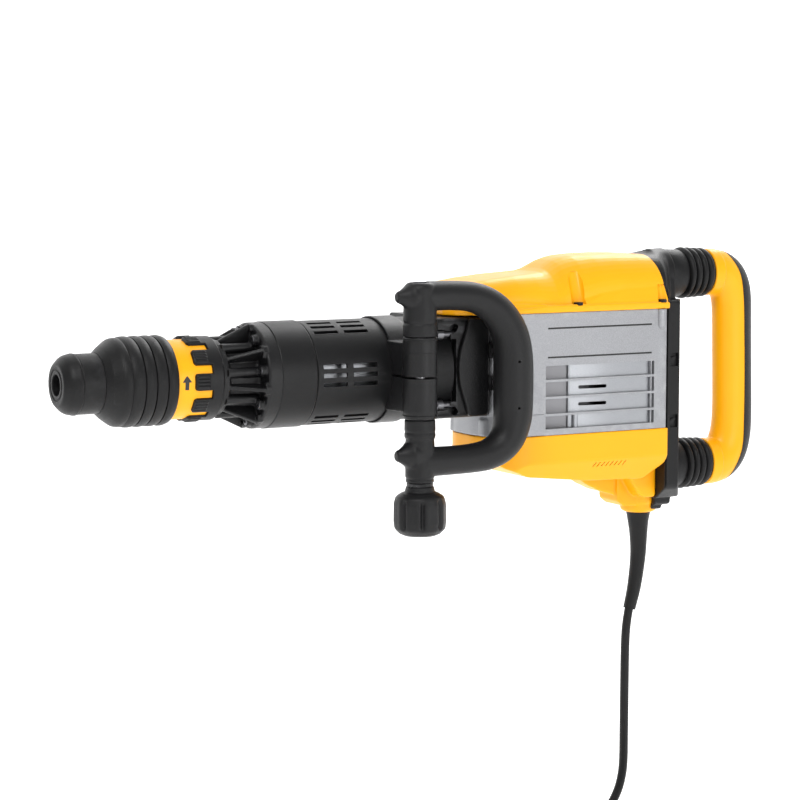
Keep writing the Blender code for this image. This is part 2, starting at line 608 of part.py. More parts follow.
def build_lower_housing():
    low, high = BODY_X
    side = [(low, SEAM_LOW_Z - GAP, 0.0), (high, SEAM_LOW_Z - GAP, 0.0), (high, -0.1030, 0.010),
            (0.2380, -0.1190, 0.010), (0.1700, -0.1165, 0.050), (0.1000, -0.1085, 0.014),
            (0.0749, -0.0985, 0.010), (low, -0.0850, 0.008)]
    housing = slab("lower_housing", rounded(side), -BODY_HALF_WIDTH, BODY_HALF_WIDTH,
                   "yellow_plastic")
    fin = [(0.1740, -0.1120, 0.0), (0.1920, -0.1255, 0.010), (0.2070, -0.1330, 0.010),
           (0.2430, -0.1400, 0.0), (0.2430, -0.1120, 0.0)]
    join(housing, slab("skid_fin", rounded(fin), -0.0120, 0.0120),
         round_edges(cylinder("cable_boss", (BOSS_X, 0, BOSS_END_Z), (BOSS_X, 0, -0.1010),
                              BOSS_RADIUS), 0.005))
    cut(housing,
        box("lower_space", (0.0900, -0.0510, -0.1040), (high - WALL, 0.0510, -0.05)),
        box("boss_step", (high, -0.07, BOSS_STEP_Z), (0.30, 0.07, -0.05)),
        cylinder("cable_entry", (BOSS_X, 0, -0.17), (BOSS_X, 0, -0.09), 0.0080, sides=20))
    cup = turned("bearing_cup", tube(-0.1060, -0.0950, 0.0133, 0.0165), place_at=(ARMATURE_X, 0, 0))
    join(housing, cup)


def build_rear_cover():
    outline = rounded([(-0.0500, -0.1500, 0.012), (0.0500, -0.1500, 0.012), (0.0500, 0.0560, 0.012),
                       (0.0380, 0.1040, 0.016), (-0.0380, 0.1040, 0.016), (-0.0500, 0.0560, 0.012)])
    inner = rounded([(-0.0470, -0.1470, 0.010), (0.0470, -0.1470, 0.010), (0.0470, 0.0550, 0.010),
                     (0.0350, 0.1010, 0.014), (-0.0350, 0.1010, 0.014), (-0.0470, 0.0550, 0.010)])
    front = BODY_X[1] + GAP
    cover = slab("rear_cover", outline, front, REAR_FACE_X, "black_plastic", across="X")
    cut(cover, slab("rear_space", inner, front - 0.01, REAR_FACE_X - WALL, across="X"),
        box("boss_room", (front - 0.01, -BOSS_RADIUS - GAP, -0.17),
            (BOSS_X + BOSS_RADIUS + GAP, BOSS_RADIUS + GAP, BOSS_STEP_Z + GAP)),
        box("switch_slot", (0.28, -0.0080, 0.0180), (0.30, 0.0080, 0.0500)))
    for index, z in enumerate(ARM_Z):
        cut(cover, cylinder(f"rod_hole_{index}", (0.27, 0, z), (0.30, 0, z), 0.0078, sides=20))
    rocker = box("power_switch", (0.2880, -0.0120, 0.0270), (0.2960, 0.0120, 0.0480), "black_plastic",
                 0.002)
    join(rocker, box("switch_stem", (0.2750, -0.0074, 0.0300), (0.2890, 0.0074, 0.0450)))


# ---- rear handle -------------------------------------------------------------------------------
def build_rear_handle():
    start_x = BOOT_X[1] + GAP
    boundary = [(0.3660, 0.0990), (0.3745, 0.0760), (0.3800, 0.0250), (0.3815, -0.0300),
                (0.3795, -0.0970), (0.3665, -0.1260)]
    inside = [(start_x, -0.1365, 0.0), (start_x, -0.0910, 0.0), (0.3505, -0.0865, 0.014),
              (0.3510, -0.0600, 0.10), (0.3490, 0.0300, 0.10), (0.3490, 0.0500, 0.03),
              (start_x, 0.0600, 0.0), (start_x, 0.1060, 0.0), (0.3560, 0.1040, 0.02)]
    yellow = rounded(inside) + boundary + [(0.3560, -0.1345)]
    handle = slab("rear_handle", yellow, -GRIP_HALF_WIDTH, GRIP_HALF_WIDTH, "yellow_plastic",
                  rounding=0.0060, segments=1)
    back = rounded([(0.3668, -0.1262, 0.0), (0.3950, -0.1180, 0.026), (0.4035, -0.0600, 0.06),
                    (0.4035, 0.0050, 0.06), (0.3965, 0.0860, 0.024), (0.3663, 0.0996, 0.0)])
    shifted = [(x + GAP, z) for x, z in boundary[1:-1]]
    slab("handle_grip", back + shifted, -GRIP_HALF_WIDTH, GRIP_HALF_WIDTH, "black_rubber",
         rounding=0.0060)
    for index, (z, level) in enumerate(zip(ARM_Z, ("upper", "lower"))):
        join(handle, cylinder(f"guide_rod_{level}", (0.2710, 0, z), (0.3500, 0, z), 0.0070, sides=16),
             cylinder(f"arm_disc_{level}", (start_x, 0, z), (0.3500, 0, z), 0.0240, sides=28))
        boot = [(BOOT_X[0], 0.0190), (BOOT_X[0], BOOT_RADIUS), (0.3060, BOOT_RADIUS)]
        for rib in range(4):
            start = 0.3070 + 0.0080 * rib
            boot += [(start, 0.0222), (start + 0.0030, BOOT_RADIUS),
                     (start + 0.0070, BOOT_RADIUS)]
        boot += [(BOOT_X[1], BOOT_RADIUS), (BOOT_X[1], 0.0190)]
        made = turned(f"boot_{level}", boot, "black_rubber", INNER_STEPS)
        bpy.context.view_layer.update()
        made.matrix_world = Matrix.Translation((0, 0, z)) @ made.matrix_world
        coil_spring(f"handle_spring_{level}", 0.2895, 0.3375, z, 0.0125, 0.0014, 4, "steel")


# ---- side handle -------------------------------------------------------------------------------
def loop_path():
    """Centre line and radius along the D-shaped grip, from the upper hub round to the lower one."""
    low, high = LOOP_Z
    bend = 0.042
    points = [(SHAFT_X, SHAFT_Y, high), (SHAFT_X + 0.030, SHAFT_Y, high)]
    for step in range(6):
        angle = math.radians(90 - 18 * step)
        points.append((LOOP_X - bend + bend * math.cos(angle), SHAFT_Y,
                       high - bend + bend * math.sin(angle)))
    for step in range(6):
        angle = math.radians(-18 * step)
        points.append((LOOP_X - bend + bend * math.cos(angle), SHAFT_Y,
                       low + bend + bend * math.sin(angle)))
    points += [(SHAFT_X + 0.030, SHAFT_Y, low), (SHAFT_X, SHAFT_Y, low)]
    arm, grip = 0.0138, 0.0168
    return points, [arm] * 4 + [0.0155] * 2 + [grip] * 4 + [0.0155] * 2 + [arm] * 4


def build_side_handle():
    at = (SHAFT_X, SHAFT_Y)
    ring = turned("clamp_ring", tube(-0.0500, -0.0260, BAND_BORE, BAND_BORE + 0.0013), "steel",
                  OUTER_STEPS)
    join(ring, box("ear_web", (-0.0480, -0.0760, EAR_LOW_Z + 0.006), (-0.0280, -0.0300, 0.0300)),
         cylinder("ear_post", (*at, EAR_LOW_Z), (*at, EAR_TOP_Z), 0.0148, sides=28))
    cut(ring, cylinder("barrel_room", (-0.10, 0, 0), (0.05, 0, 0), BAND_BORE,
                       sides=OUTER_STEPS),
        box("ear_split", (-0.08, -0.10, SPLIT_Z[0]), (0.0, -0.040, SPLIT_Z[1])),
        cylinder("ear_bore", (*at, -0.06), (*at, 0.06), 0.0055, sides=16))
    points, radii = loop_path()
    grip = swept("side_grip", points, radii, "black_rubber", sides=4)
    join(grip, cylinder("upper_hub", (*at, EAR_TOP_Z + GAP), (*at, 0.0875), 0.0152, sides=28),
         cylinder("lower_hub", (*at, -0.1000), (*at, EAR_LOW_Z - GAP), 0.0136, sides=28))
    cut(grip, cylinder("bolt_bore", (*at, -0.12), (*at, 0.0780), 0.0055, sides=16),
        cylinder("head_pocket", (*at, 0.0690), (*at, 0.0780), 0.0092, sides=6))
    bolt = cylinder("clamp_bolt", (*at, -0.1230), (*at, 0.0750), BOLT_RADIUS, "steel", 16)
    join(bolt, cylinder("bolt_head", (*at, 0.0695), (*at, 0.0772), 0.0086, sides=6))
    turned("knob_washer", tube(-0.1032, -0.1004, 0.0055, 0.0125), "steel", place_at=(*at, 0))
    low, high = KNOB_Z
    knob = turned("clamp_knob", [
        (low, 0.0), (low, 0.0150), (low + 0.003, 0.0205), (low + 0.008, KNOB_RADIUS),
        (high - 0.012, KNOB_RADIUS), (high - 0.006, 0.0215), (high - 0.004, 0.0140),
        (high, 0.0125), (high, 0.0055), (-0.1260, 0.0055), (-0.1260, 0.0)], "black_rubber",
        OUTER_STEPS, place_at=(*at, 0))
    for flute in range(8):
        angle = math.radians(45 * flute + 22.5)
        centre = (SHAFT_X + 0.0270 * math.cos(angle), SHAFT_Y + 0.0270 * math.sin(angle))
        cut(knob, cylinder(f"flute_{flute}", (*centre, low - 0.01), (*centre, high - 0.006), 0.0040,
                           sides=10))


# ---- mains lead --------------------------------------------------------------------------------
def build_lead():
    points = [(x, 0.0, z) for x, z, radius in RELIEF_POINTS]
    swept("strain_relief", points, [radius for x, z, radius in RELIEF_POINTS], "black_rubber", sides=3)
    swept("cord", CORD_POINTS, [CORD_RADIUS] * len(CORD_POINTS), "black_rubber", sides=2)
    half = COIL_BUNDLE / 2
    turned("cord_coil", tube(FLOOR_Z, COIL_TOP_Z, COIL_RADIUS - half, COIL_RADIUS + half),
           "black_rubber", 32, place_at=(*COIL_CENTRE, 0))
    y = COIL_CENTRE[1] - 0.048
    low, high = COIL_TOP_Z + GAP, COIL_TOP_Z + 0.0300
    body = rounded([(0.2400, y - 0.0165, 0.006), (0.2400, y + 0.0165, 0.006),
                    (0.2050, y + 0.0165, 0.012), (0.1820, y + 0.0060, 0.006),
                    (0.1820, y - 0.0060, 0.006), (0.2050, y - 0.0165, 0.012)])
    plug = slab("plug", body, low, high, "black_rubber", across="Z", rounding=0.003,
                segments=1)
    middle = (low + high) / 2
    join(plug, cylinder("pin_near", (0.2380, y - 0.0095, middle), (0.2590, y - 0.0095, middle), 0.0024,
                        sides=10),
         cylinder("pin_far", (0.2380, y + 0.0095, middle), (0.2590, y + 0.0095, middle), 0.0024,
                  sides=10))


def main():
    build_chuck()
    build_front_housing()
    build_barrel()
    build_hammer()
    build_gears()
    build_gear_housing()
    build_motor_housing()
    build_motor()
    build_top_cover()
    build_lower_housing()
    build_rear_cover()
    build_rear_handle()
    build_side_handle()
    build_lead()


main()
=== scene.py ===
import math

import bmesh
import bpy
from mathutils import Matrix, Vector


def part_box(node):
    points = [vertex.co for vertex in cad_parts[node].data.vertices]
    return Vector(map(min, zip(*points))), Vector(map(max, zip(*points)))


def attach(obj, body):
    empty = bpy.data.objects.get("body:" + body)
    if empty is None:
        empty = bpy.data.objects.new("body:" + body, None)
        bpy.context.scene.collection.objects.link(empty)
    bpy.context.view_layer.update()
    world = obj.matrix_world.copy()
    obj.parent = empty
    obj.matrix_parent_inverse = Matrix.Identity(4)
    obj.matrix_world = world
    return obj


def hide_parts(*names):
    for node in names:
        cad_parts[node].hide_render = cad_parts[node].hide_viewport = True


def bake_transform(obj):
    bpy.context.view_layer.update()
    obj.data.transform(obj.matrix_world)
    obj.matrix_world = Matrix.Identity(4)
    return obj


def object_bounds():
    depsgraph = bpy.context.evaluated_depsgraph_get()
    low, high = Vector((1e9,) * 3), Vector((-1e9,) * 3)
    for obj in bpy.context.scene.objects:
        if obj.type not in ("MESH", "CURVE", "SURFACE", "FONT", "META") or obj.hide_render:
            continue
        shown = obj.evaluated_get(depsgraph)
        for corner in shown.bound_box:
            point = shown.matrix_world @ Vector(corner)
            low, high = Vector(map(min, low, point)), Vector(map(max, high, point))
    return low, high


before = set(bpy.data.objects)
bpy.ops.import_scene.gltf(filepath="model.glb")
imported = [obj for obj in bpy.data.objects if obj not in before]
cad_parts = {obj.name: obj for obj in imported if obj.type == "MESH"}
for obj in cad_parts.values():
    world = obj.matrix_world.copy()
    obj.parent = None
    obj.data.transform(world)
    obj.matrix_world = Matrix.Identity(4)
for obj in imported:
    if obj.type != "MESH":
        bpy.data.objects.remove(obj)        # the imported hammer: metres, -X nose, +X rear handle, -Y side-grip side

CAD_BOUNDS = [list(corner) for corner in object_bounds()]
AXIS_BARREL = "X"
AXIS_UP = "Z"
SIDES = ((-1, "left"), (1, "right"))


# ---- materials ---------------------------------------------------------------------------------
CLOUD_SCALE = 16.0          # slow changes of colour and gloss
PATCH_SCALE = 90.0          # where an edge is rubbed
FLAKE_SCALE = 2200.0        # metal flakes in the paint
GRAIN_DEPTH = 0.0006


def look(name, colour, roughness, metallic=0.0, tint=0.08, grain=0.1, grain_scale=900.0,
         spread=0.07, scuff=None, streak=None, sparkle=0.0, shine=0.5):
    """A moulded, cast or machined surface: grain, uneven colour and gloss, and rubbed edges."""
    made = bpy.data.materials.new(name)
    made.use_nodes = True
    tree = made.node_tree
    shader = tree.nodes["Principled BSDF"]
    link = tree.links.new

    def add(kind, **values):
        node = tree.nodes.new("ShaderNode" + kind)
        for label, value in values.items():
            node.inputs[label.replace("_", " ")].default_value = value
        return node

    def noise(scale, detail, vector):
        node = add("TexNoise", Scale=scale, Detail=detail)
        link(vector, node.inputs["Vector"])
        return node.outputs["Fac"]

    def ranged(value, low, high, ends="To"):
        node = add("MapRange", **{ends + "_Min": low, ends + "_Max": high})
        link(value, node.inputs["Value"])
        return node.outputs["Result"]

    def mix(factor, first, second, mode="MIX"):
        node = add("Mix")
        node.data_type = "RGBA"
        node.blend_type = mode
        for label, value in (("Factor", factor), ("A", first), ("B", second)):
            if isinstance(value, bpy.types.NodeSocket):
                link(value, node.inputs[label])
            else:
                node.inputs[label].default_value = value
        return node.outputs["Result"]

    place = add("TexCoord").outputs["Object"]
    mapping = add("Mapping")
    if streak:
        mapping.inputs["Scale"].default_value = streak
    link(place, mapping.inputs["Vector"])
    cloud = noise(CLOUD_SCALE, 6.0, mapping.outputs["Vector"])
    fine = noise(grain_scale, 3.0, mapping.outputs["Vector"])

    deep = (*[c * (1 - tint) for c in colour], 1)
    pale = (*[min(1.0, c * (1 + tint)) for c in colour], 1)
    shade = mix(cloud, deep, pale)
    if sparkle:
        flakes = add("TexVoronoi", Scale=FLAKE_SCALE)
        link(place, flakes.inputs["Vector"])
        glint = ranged(flakes.outputs["Color"], 1.0 - sparkle, 1.0 + sparkle)
        shade = mix(1.0, shade, glint, "MULTIPLY")
    if scuff:
        both = add("Math")
        both.operation = "MULTIPLY"
        link(ranged(add("NewGeometry").outputs["Pointiness"], 0.53, 0.62, "From"), both.inputs[0])
        link(ranged(noise(PATCH_SCALE, 5.0, place), 0.45, 0.7, "From"), both.inputs[1])
        shade = mix(both.outputs["Value"], shade, (*scuff, 1))
    link(shade, shader.inputs["Base Color"])

    gloss = ranged(cloud, max(0.02, roughness - spread), min(1.0, roughness + spread))
    link(gloss, shader.inputs["Roughness"])
    shader.inputs["Metallic"].default_value = metallic
    shader.inputs["Specular IOR Level"].default_value = shine
    bump = add("Bump", Strength=grain, Distance=GRAIN_DEPTH)
    link(fine, bump.inputs["Height"])
    link(bump.outputs["Normal"], shader.inputs["Normal"])
    return made


YELLOW = look("yellow_nylon", (0.95, 0.405, 0.002), 0.36, tint=0.04, grain=0.1, spread=0.05,
              scuff=(0.96, 0.52, 0.06), shine=0.3)
BLACK = look("black_nylon", (0.006, 0.006, 0.0065), 0.4, grain=0.3, grain_scale=1400.0,
             scuff=(0.035, 0.035, 0.037), shine=0.24)
RUBBER = look("black_rubber", (0.005, 0.005, 0.0054), 0.42, grain=0.36, grain_scale=1700.0,
              tint=0.16, scuff=(0.026, 0.026, 0.028), shine=0.24)
GRIP = look("soft_grip_rubber", (0.007, 0.007, 0.0076), 0.42, grain=0.34, grain_scale=1900.0,
            tint=0.12, shine=0.26)
CASTING = look("black_coated_casting", (0.006, 0.006, 0.0066), 0.34, grain=0.5,
               grain_scale=1100.0, scuff=(0.08, 0.08, 0.085), metallic=0.04, shine=0.3)
SILVER = look("silver_painted_casting", (0.3, 0.305, 0.32), 0.36, metallic=0.6, grain=0.3,
              grain_scale=1300.0, tint=0.06, sparkle=0.16, scuff=(0.62, 0.63, 0.65))
SHROUD = look("bright_air_shroud", (0.34, 0.35, 0.37), 0.3, metallic=0.85, grain=0.2,
              tint=0.1, sparkle=0.08)
# a darker copy of the shroud metal: painted shade for the plate behind the louvres
SHADED_SHROUD = look("shroud_with_painted_shade", (0.2, 0.2, 0.21), 0.42, metallic=0.8, grain=0.2, tint=0.15)
STEEL = look("zinc_plated_steel", (0.46, 0.46, 0.48), 0.3, metallic=1.0, grain=0.15, tint=0.14)
DARK_STEEL = look("hardened_oiled_steel", (0.16, 0.16, 0.17), 0.34, metallic=1.0, grain=0.12,
                  tint=0.2, streak=(1.0, 12.0, 12.0))
LAMINATED = look("laminated_core_steel", (0.13, 0.13, 0.135), 0.42, metallic=0.9, grain=0.6,
                 streak=(0.4, 0.4, 6.0), tint=0.25)
COPPER = look("commutator_copper", (0.62, 0.27, 0.12), 0.32, metallic=1.0, tint=0.2)
CARBON = look("pressed_carbon", (0.028, 0.028, 0.03), 0.8, grain=0.6)
PRINT = look("black_print", (0.012, 0.012, 0.013), 0.5, grain=0.05)


# ---- mesh helpers ------------------------------------------------------------------------------
def smooth_step(value):
    value = min(1.0, max(0.0, value))
    return value * value * (3 - 2 * value)


def rounded(corners, steps=6):
    """An outline whose corners, given as (first, second, radius), are rounded."""
    outline = []
    count = len(corners)
    for index, (first, second, radius) in enumerate(corners):
        here = Vector((first, second))
        if radius <= 0:
            outline.append((first, second))
            continue
        before = Vector(corners[index - 1][:2]) - here
        after = Vector(corners[(index + 1) % count][:2]) - here
        half = before.angle(after) / 2
        reach = min(radius / math.tan(half), 0.49 * before.length, 0.49 * after.length)
        start = here + before.normalized() * reach
        end = here + after.normalized() * reach
        for step in range(steps + 1):
            t = step / steps
            bend = start * (1 - t) ** 2 + here * 2 * t * (1 - t) + end * t ** 2
            outline.append((bend.x, bend.y))
    return outline


def spot(axis, at, station, radius, angle):
    """A point on a turned shape round an axis through at."""
    c, s = radius * math.cos(angle), radius * math.sin(angle)
    return Vector(at) + Vector((station, c, s) if axis == AXIS_BARREL else (c, s, station))


def revolve(profile, steps=96, axis=AXIS_BARREL, at=(0, 0, 0), wave=None):
    """Turn a closed profile of (station, radius); wave may change the radius round the turn."""
    bm = bmesh.new()
    rings = []
    for station, radius in profile:
        if radius < 1e-6:
            rings.append([bm.verts.new(spot(axis, at, station, 0, 0))])
            continue
        ring = []
        for step in range(steps):
            angle = 2 * math.pi * step / steps
            reach = wave(station, angle, radius) if wave else radius
            ring.append(bm.verts.new(spot(axis, at, station, reach, angle)))
        rings.append(ring)
    closed = len(rings[0]) > 1 and len(rings[-1]) > 1
    pairs = list(zip(rings, rings[1:])) + ([(rings[-1], rings[0])] if closed else [])
    for first, second in pairs:
        for step in range(steps):
            after = (step + 1) % steps
            if len(first) == 1 and len(second) == 1:
                continue
            if len(first) == 1:
                bm.faces.new((first[0], second[after], second[step]))
            elif len(second) == 1:
                bm.faces.new((first[step], first[after], second[0]))
            else:
                bm.faces.new((first[step], first[after], second[after], second[step]))
    bmesh.ops.recalc_face_normals(bm, faces=bm.faces)
    return bm


def prism(outline, low, high, axis="Y"):
    """Push a flat outline along an axis: x, z along Y; x, y along Z; y, z along X."""
    order = {"Y": lambda a, b, c: (a, c, b), "Z": lambda a, b, c: (a, b, c),
             "X": lambda a, b, c: (c, a, b)}[axis]
    bm = bmesh.new()
    first = [bm.verts.new(order(a, b, low)) for a, b in outline]
    second = [bm.verts.new(order(a, b, high)) for a, b in outline]
    count = len(outline)
    bm.faces.new(first)
    bm.faces.new(list(reversed(second)))
    for index in range(count):
        after = (index + 1) % count
        bm.faces.new((first[index], second[index], second[after], first[after]))
    bmesh.ops.recalc_face_normals(bm, faces=bm.faces)
    return bm


def block(low, high):
    return prism([(low[0], low[2]), (high[0], low[2]), (high[0], high[2]), (low[0], high[2])],
                 low[1], high[1])


def bar(start, end, radius, steps=32, end_radius=None):
    """A round bar, or a cone with end_radius, between two points."""
    start, end = Vector(start), Vector(end)
    bm = bmesh.new()
    bmesh.ops.create_cone(bm, cap_ends=True, segments=steps, radius1=radius,
                          radius2=radius if end_radius is None else end_radius,
                          depth=(end - start).length)
    turn = Vector((0, 0, 1)).rotation_difference((end - start).normalized())
    bm.transform(Matrix.Translation((start + end) / 2) @ turn.to_matrix().to_4x4())
    return bm


def sweep(points, sections, steps=20):
    """A closed tube along points in a plane y = constant; sections are (half height, half width)."""
    bm = bmesh.new()
    rings = []
    last = len(points) - 1
    for index, point in enumerate(points):
        point = Vector(point)
        ahead = (Vector(points[min(last, index + 1)]) - Vector(points[max(0, index - 1)])).normalized()
        side = Vector((0, 1, 0))
        out = ahead.cross(side).normalized()
        high, wide = sections[index]
        ring = []
        for step in range(steps):
            angle = 2 * math.pi * step / steps
            ring.append(bm.verts.new(point + out * high * math.cos(angle)
                                     + side * wide * math.sin(angle)))
        rings.append(ring)
    for first, second in zip(rings, rings[1:]):
        for step in range(steps):
            after = (step + 1) % steps
            bm.faces.new((first[step], first[after], second[after], second[step]))
    bm.faces.new(list(reversed(rings[0])))
    bm.faces.new(rings[-1])
    bmesh.ops.recalc_face_normals(bm, faces=bm.faces)
    return bm


def about(bm, degrees, axis="X", at=(0, 0, 0)):
    """Turn a bmesh about an axis through a point."""
    turn = (Matrix.Translation(at) @ Matrix.Rotation(math.radians(degrees), 4, axis)
            @ Matrix.Translation(-Vector(at)))
    bm.transform(turn)
    return bm


def merged(shapes):
    """Several bmeshes in one, which overlap until they are fused."""
    whole = bmesh.new()
    for shape in shapes:
        temp = bpy.data.meshes.new("temp")
        shape.to_mesh(temp)
        shape.free()
        whole.from_mesh(temp)
        bpy.data.meshes.remove(temp)
    return whole


def to_object(name, bm):
    mesh = bpy.data.meshes.new(name)
    bm.to_mesh(mesh)
    bm.free()
    thing = bpy.data.objects.new(name, mesh)
    bpy.context.scene.collection.objects.link(thing)
    return thing


def apply_modifiers(thing):
    bpy.context.view_layer.update()
    evaluated = thing.evaluated_get(bpy.context.evaluated_depsgraph_get())
    mesh = bpy.data.meshes.new_from_object(evaluated)
    thing.modifiers.clear()
    old = thing.data
    thing.data = mesh
    bpy.data.meshes.remove(old)


def cut_away(thing, cutters, dense=False):
    """Cut one or more closed shapes out of a piece; a dense piece takes them one by one."""
    if dense:
        for cutter in cutters:
            one_cut(thing, to_object("cutter", cutter), "MANIFOLD")
    else:
        one_cut(thing, to_object("cutter", merged(cutters)), "EXACT")


def one_cut(thing, tool, solver):
    boolean = thing.modifiers.new("cut", "BOOLEAN")
    boolean.operation = "DIFFERENCE"
    boolean.object = tool
    boolean.solver = solver
    if solver == "EXACT":
        boolean.use_self = True
    apply_modifiers(thing)
    mesh = tool.data
    bpy.data.objects.remove(tool)
    bpy.data.meshes.remove(mesh)


def dress(thing, surface, body, nodes=(), crease=32):
    """Finish a piece: shading, material, the body it rides on and what it stands for."""
    thing.data.materials.clear()
    thing.data.materials.append(surface)
    thing.data.shade_smooth()
    thing.data.set_sharp_from_angle(angle=math.radians(crease))
    if body:
        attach(thing, body)
    if nodes:
        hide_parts(*nodes)
    return thing


def crisp(name, bm, surface, body, nodes=(), edge=0.0, segments=3, cuts=(), crease=32,
          edge_angle=35):
    """A machined or moulded piece with rounded edges and clean cuts."""
    thing = to_object(name, bm)
    if cuts:
        cut_away(thing, cuts)
    if edge:
        bevel = thing.modifiers.new("edges", "BEVEL")
        bevel.width = edge
        bevel.segments = segments
        bevel.limit_method = "ANGLE"
        bevel.angle_limit = math.radians(edge_angle)
        bevel.use_clamp_overlap = True
        apply_modifiers(thing)
    dress(thing, surface, body, nodes, crease)
    weighted = thing.modifiers.new("even_shading", "WEIGHTED_NORMAL")
    weighted.keep_sharp = True
    weighted.weight = 80
    return thing


def fused(name, shapes, surface, body, nodes=(), voxel=0.0008, rounds=6, cuts=(),
          crease=50):
    """A moulding or casting: its shapes flow into each other with soft fillets."""
    thing = to_object(name, merged(shapes))
    remesh = thing.modifiers.new("fuse", "REMESH")
    remesh.mode = "VOXEL"
    remesh.voxel_size = voxel
    soften = thing.modifiers.new("soften", "SMOOTH")
    soften.factor = 0.5
    soften.iterations = rounds
    apply_modifiers(thing)
    if cuts:
        cut_away(thing, cuts, dense=True)
    return dress(thing, surface, body, nodes, crease)


# ---- chuck -------------------------------------------------------------------------------------
def make_nose():
    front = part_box("nose_cap")[0].x
    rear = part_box("nose_cap")[1].x
    bore = 0.0098
    seat = 0.0203
    profile = rounded([
        (front, bore, 0.0008), (front, 0.0126, 0.0007), (front + 0.0012, 0.0134, 0.0004),
        (front + 0.0012, 0.0146, 0.0004), (front + 0.0002, 0.0154, 0.0006), (front, 0.0196, 0.004),
        (front + 0.0064, 0.0262, 0.012), (front + 0.0145, 0.0281, 0.002),
        (front + 0.016, 0.0281, 0.0006), (front + 0.0166, 0.0272, 0.0004),
        (front + 0.0176, 0.0275, 0.0006), (rear, 0.0275, 0), (rear, seat, 0),
        (front + 0.0067, seat, 0), (front + 0.0067, bore, 0)], 5)
    crisp("nose_dust_cap", revolve(profile, 128), RUBBER, "chuck", ["nose_cap"])


def make_locking_sleeve():
    low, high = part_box("locking_sleeve")
    front, rear = low.x, high.x
    grooves = (-0.2966, -0.2859, -0.2749)
    ridge = 0.0415
    valley = 0.0403
    outer = [(front, 0.021, 0), (front, 0.0279, 0.0005), (front + 0.0055, 0.0332, 0.004),
             (front + 0.015, 0.0402, 0.01), (front + 0.0225, valley + 0.0004, 0.006)]
    profile = rounded(outer, 6)
    bounds = (-0.3075,) + grooves + (rear - 0.002,)
    for start, end in zip(bounds, bounds[1:]):
        for step in range(9):
            t = step / 8
            x = start + 0.0007 + (end - start - 0.0014) * t
            profile.append((x, valley + (ridge - valley) * math.sin(math.pi * min(1, 0.12 + 0.76 * t))))
        profile += [(end - 0.0003, valley - 0.0009), (end + 0.0003, valley - 0.0009)]
    profile = profile[:-2]
    profile += [(rear - 0.0012, 0.0402), (rear, 0.0392), (rear, 0.0372), (-0.2985, 0.0372),
                (-0.2985, 0.0206), (front, 0.0206)]
    crisp("grooved_locking_sleeve", revolve(profile, 128), RUBBER, "sleeve",
          ["locking_sleeve"], crease=40)


def make_index_ring():
    low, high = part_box("index_collar")
    profile = rounded([(low.x, 0.0228, 0), (low.x, 0.0366, 0.0006), (high.x, 0.0366, 0.0006),
                       (high.x, 0.0228, 0)])
    crisp("yellow_index_collar", revolve(profile, 128), YELLOW, "chuck",
          ["index_collar"])
    ring_low, ring_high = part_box("index_ring")
    front, rear = ring_low.x, ring_high.x
    pads = 10
    pitch = 2 * math.pi / pads
    border, pad_top, hidden = 0.0389, 0.0399, 0.0361
    pad_end, border_end, top_start = -0.2285, -0.2298, -0.2335
    mean_radius = 0.038
    half_x, half_s, corner = (pad_end - front) / 2 + 0.003, 0.0079, 0.0032
    middle_x = front + half_x

    def rise(distance, ramp=0.0007):
        return smooth_step(0.5 - distance / ramp)

    def relief(station, angle, radius):
        if radius < 0.036:
            return radius
        turn = (angle + 10 * math.pi) % pitch
        across = min(turn, pitch - turn) * mean_radius
        dx, ds = abs(station - middle_x) - half_x + corner, across - half_s + corner
        pad = math.hypot(max(dx, 0), max(ds, 0)) + min(max(dx, ds), 0) - corner
        behind = border_end - station
        level = hidden + (border - hidden) * max(rise(pad), rise(behind))
        inner = pad + 0.0019
        top = rise(inner, 0.0008) * rise(station - top_start, 0.001)
        groove = 0.0
        for line in (-0.0031, 0.0, 0.0031):
            signed = turn if turn < pitch / 2 else turn - pitch
            groove = max(groove, math.exp(-((signed * mean_radius - line) / 0.00055) ** 2))
        level += top * (pad_top - border) - 0.0008 * groove * top
        edge = min(station - front, rear - station)
        return level - 0.0009 * smooth_step(1 - edge / 0.001)

    stations = 64
    outer = [(front + (rear - front) * step / stations, 0.039) for step in range(stations + 1)]
    profile = [(front, 0.035)] + outer + [(rear, 0.035)]
    crisp("index_grip_ring", revolve(profile, 560, wave=relief), BLACK, "chuck",
          ["index_ring"], crease=60)

    arrow = bmesh.new()
    slices = [(-0.0066, 0.0019), (-0.003, 0.0019), (0.0003, 0.0019), (0.0004, 0.0046),
              (0.0022, 0.0033), (0.0041, 0.0019), (0.006, 0.0003)]
    centre = -0.2552
    rows = []
    for z, half in slices:
        row = []
        for radius in (0.036, 0.03675):
            depth = -math.sqrt(radius ** 2 - z ** 2)
            row += [arrow.verts.new((centre - half, depth, z)), arrow.verts.new((centre + half, depth, z))]
        rows.append(row)
    for first, second in zip(rows, rows[1:]):
        for a, b in ((0, 1), (1, 3), (3, 2), (2, 0)):
            arrow.faces.new((first[a], first[b], second[b], second[a]))
    for row in (rows[0], rows[-1]):
        arrow.faces.new((row[0], row[1], row[3], row[2]))
    bmesh.ops.recalc_face_normals(arrow, faces=arrow.faces)
    crisp("index_arrow", arrow, PRINT, "chuck")


# ---- barrel ------------------------------------------------------------------------------------
SCREW_COUNT = 8
SCREW_ANGLE = 11.25
SCREW_CIRCLE = 0.0425


def screw_place(index):
    angle = math.radians(SCREW_ANGLE + 360 * index / SCREW_COUNT)
    return -SCREW_CIRCLE * math.cos(angle), SCREW_CIRCLE * math.sin(angle)


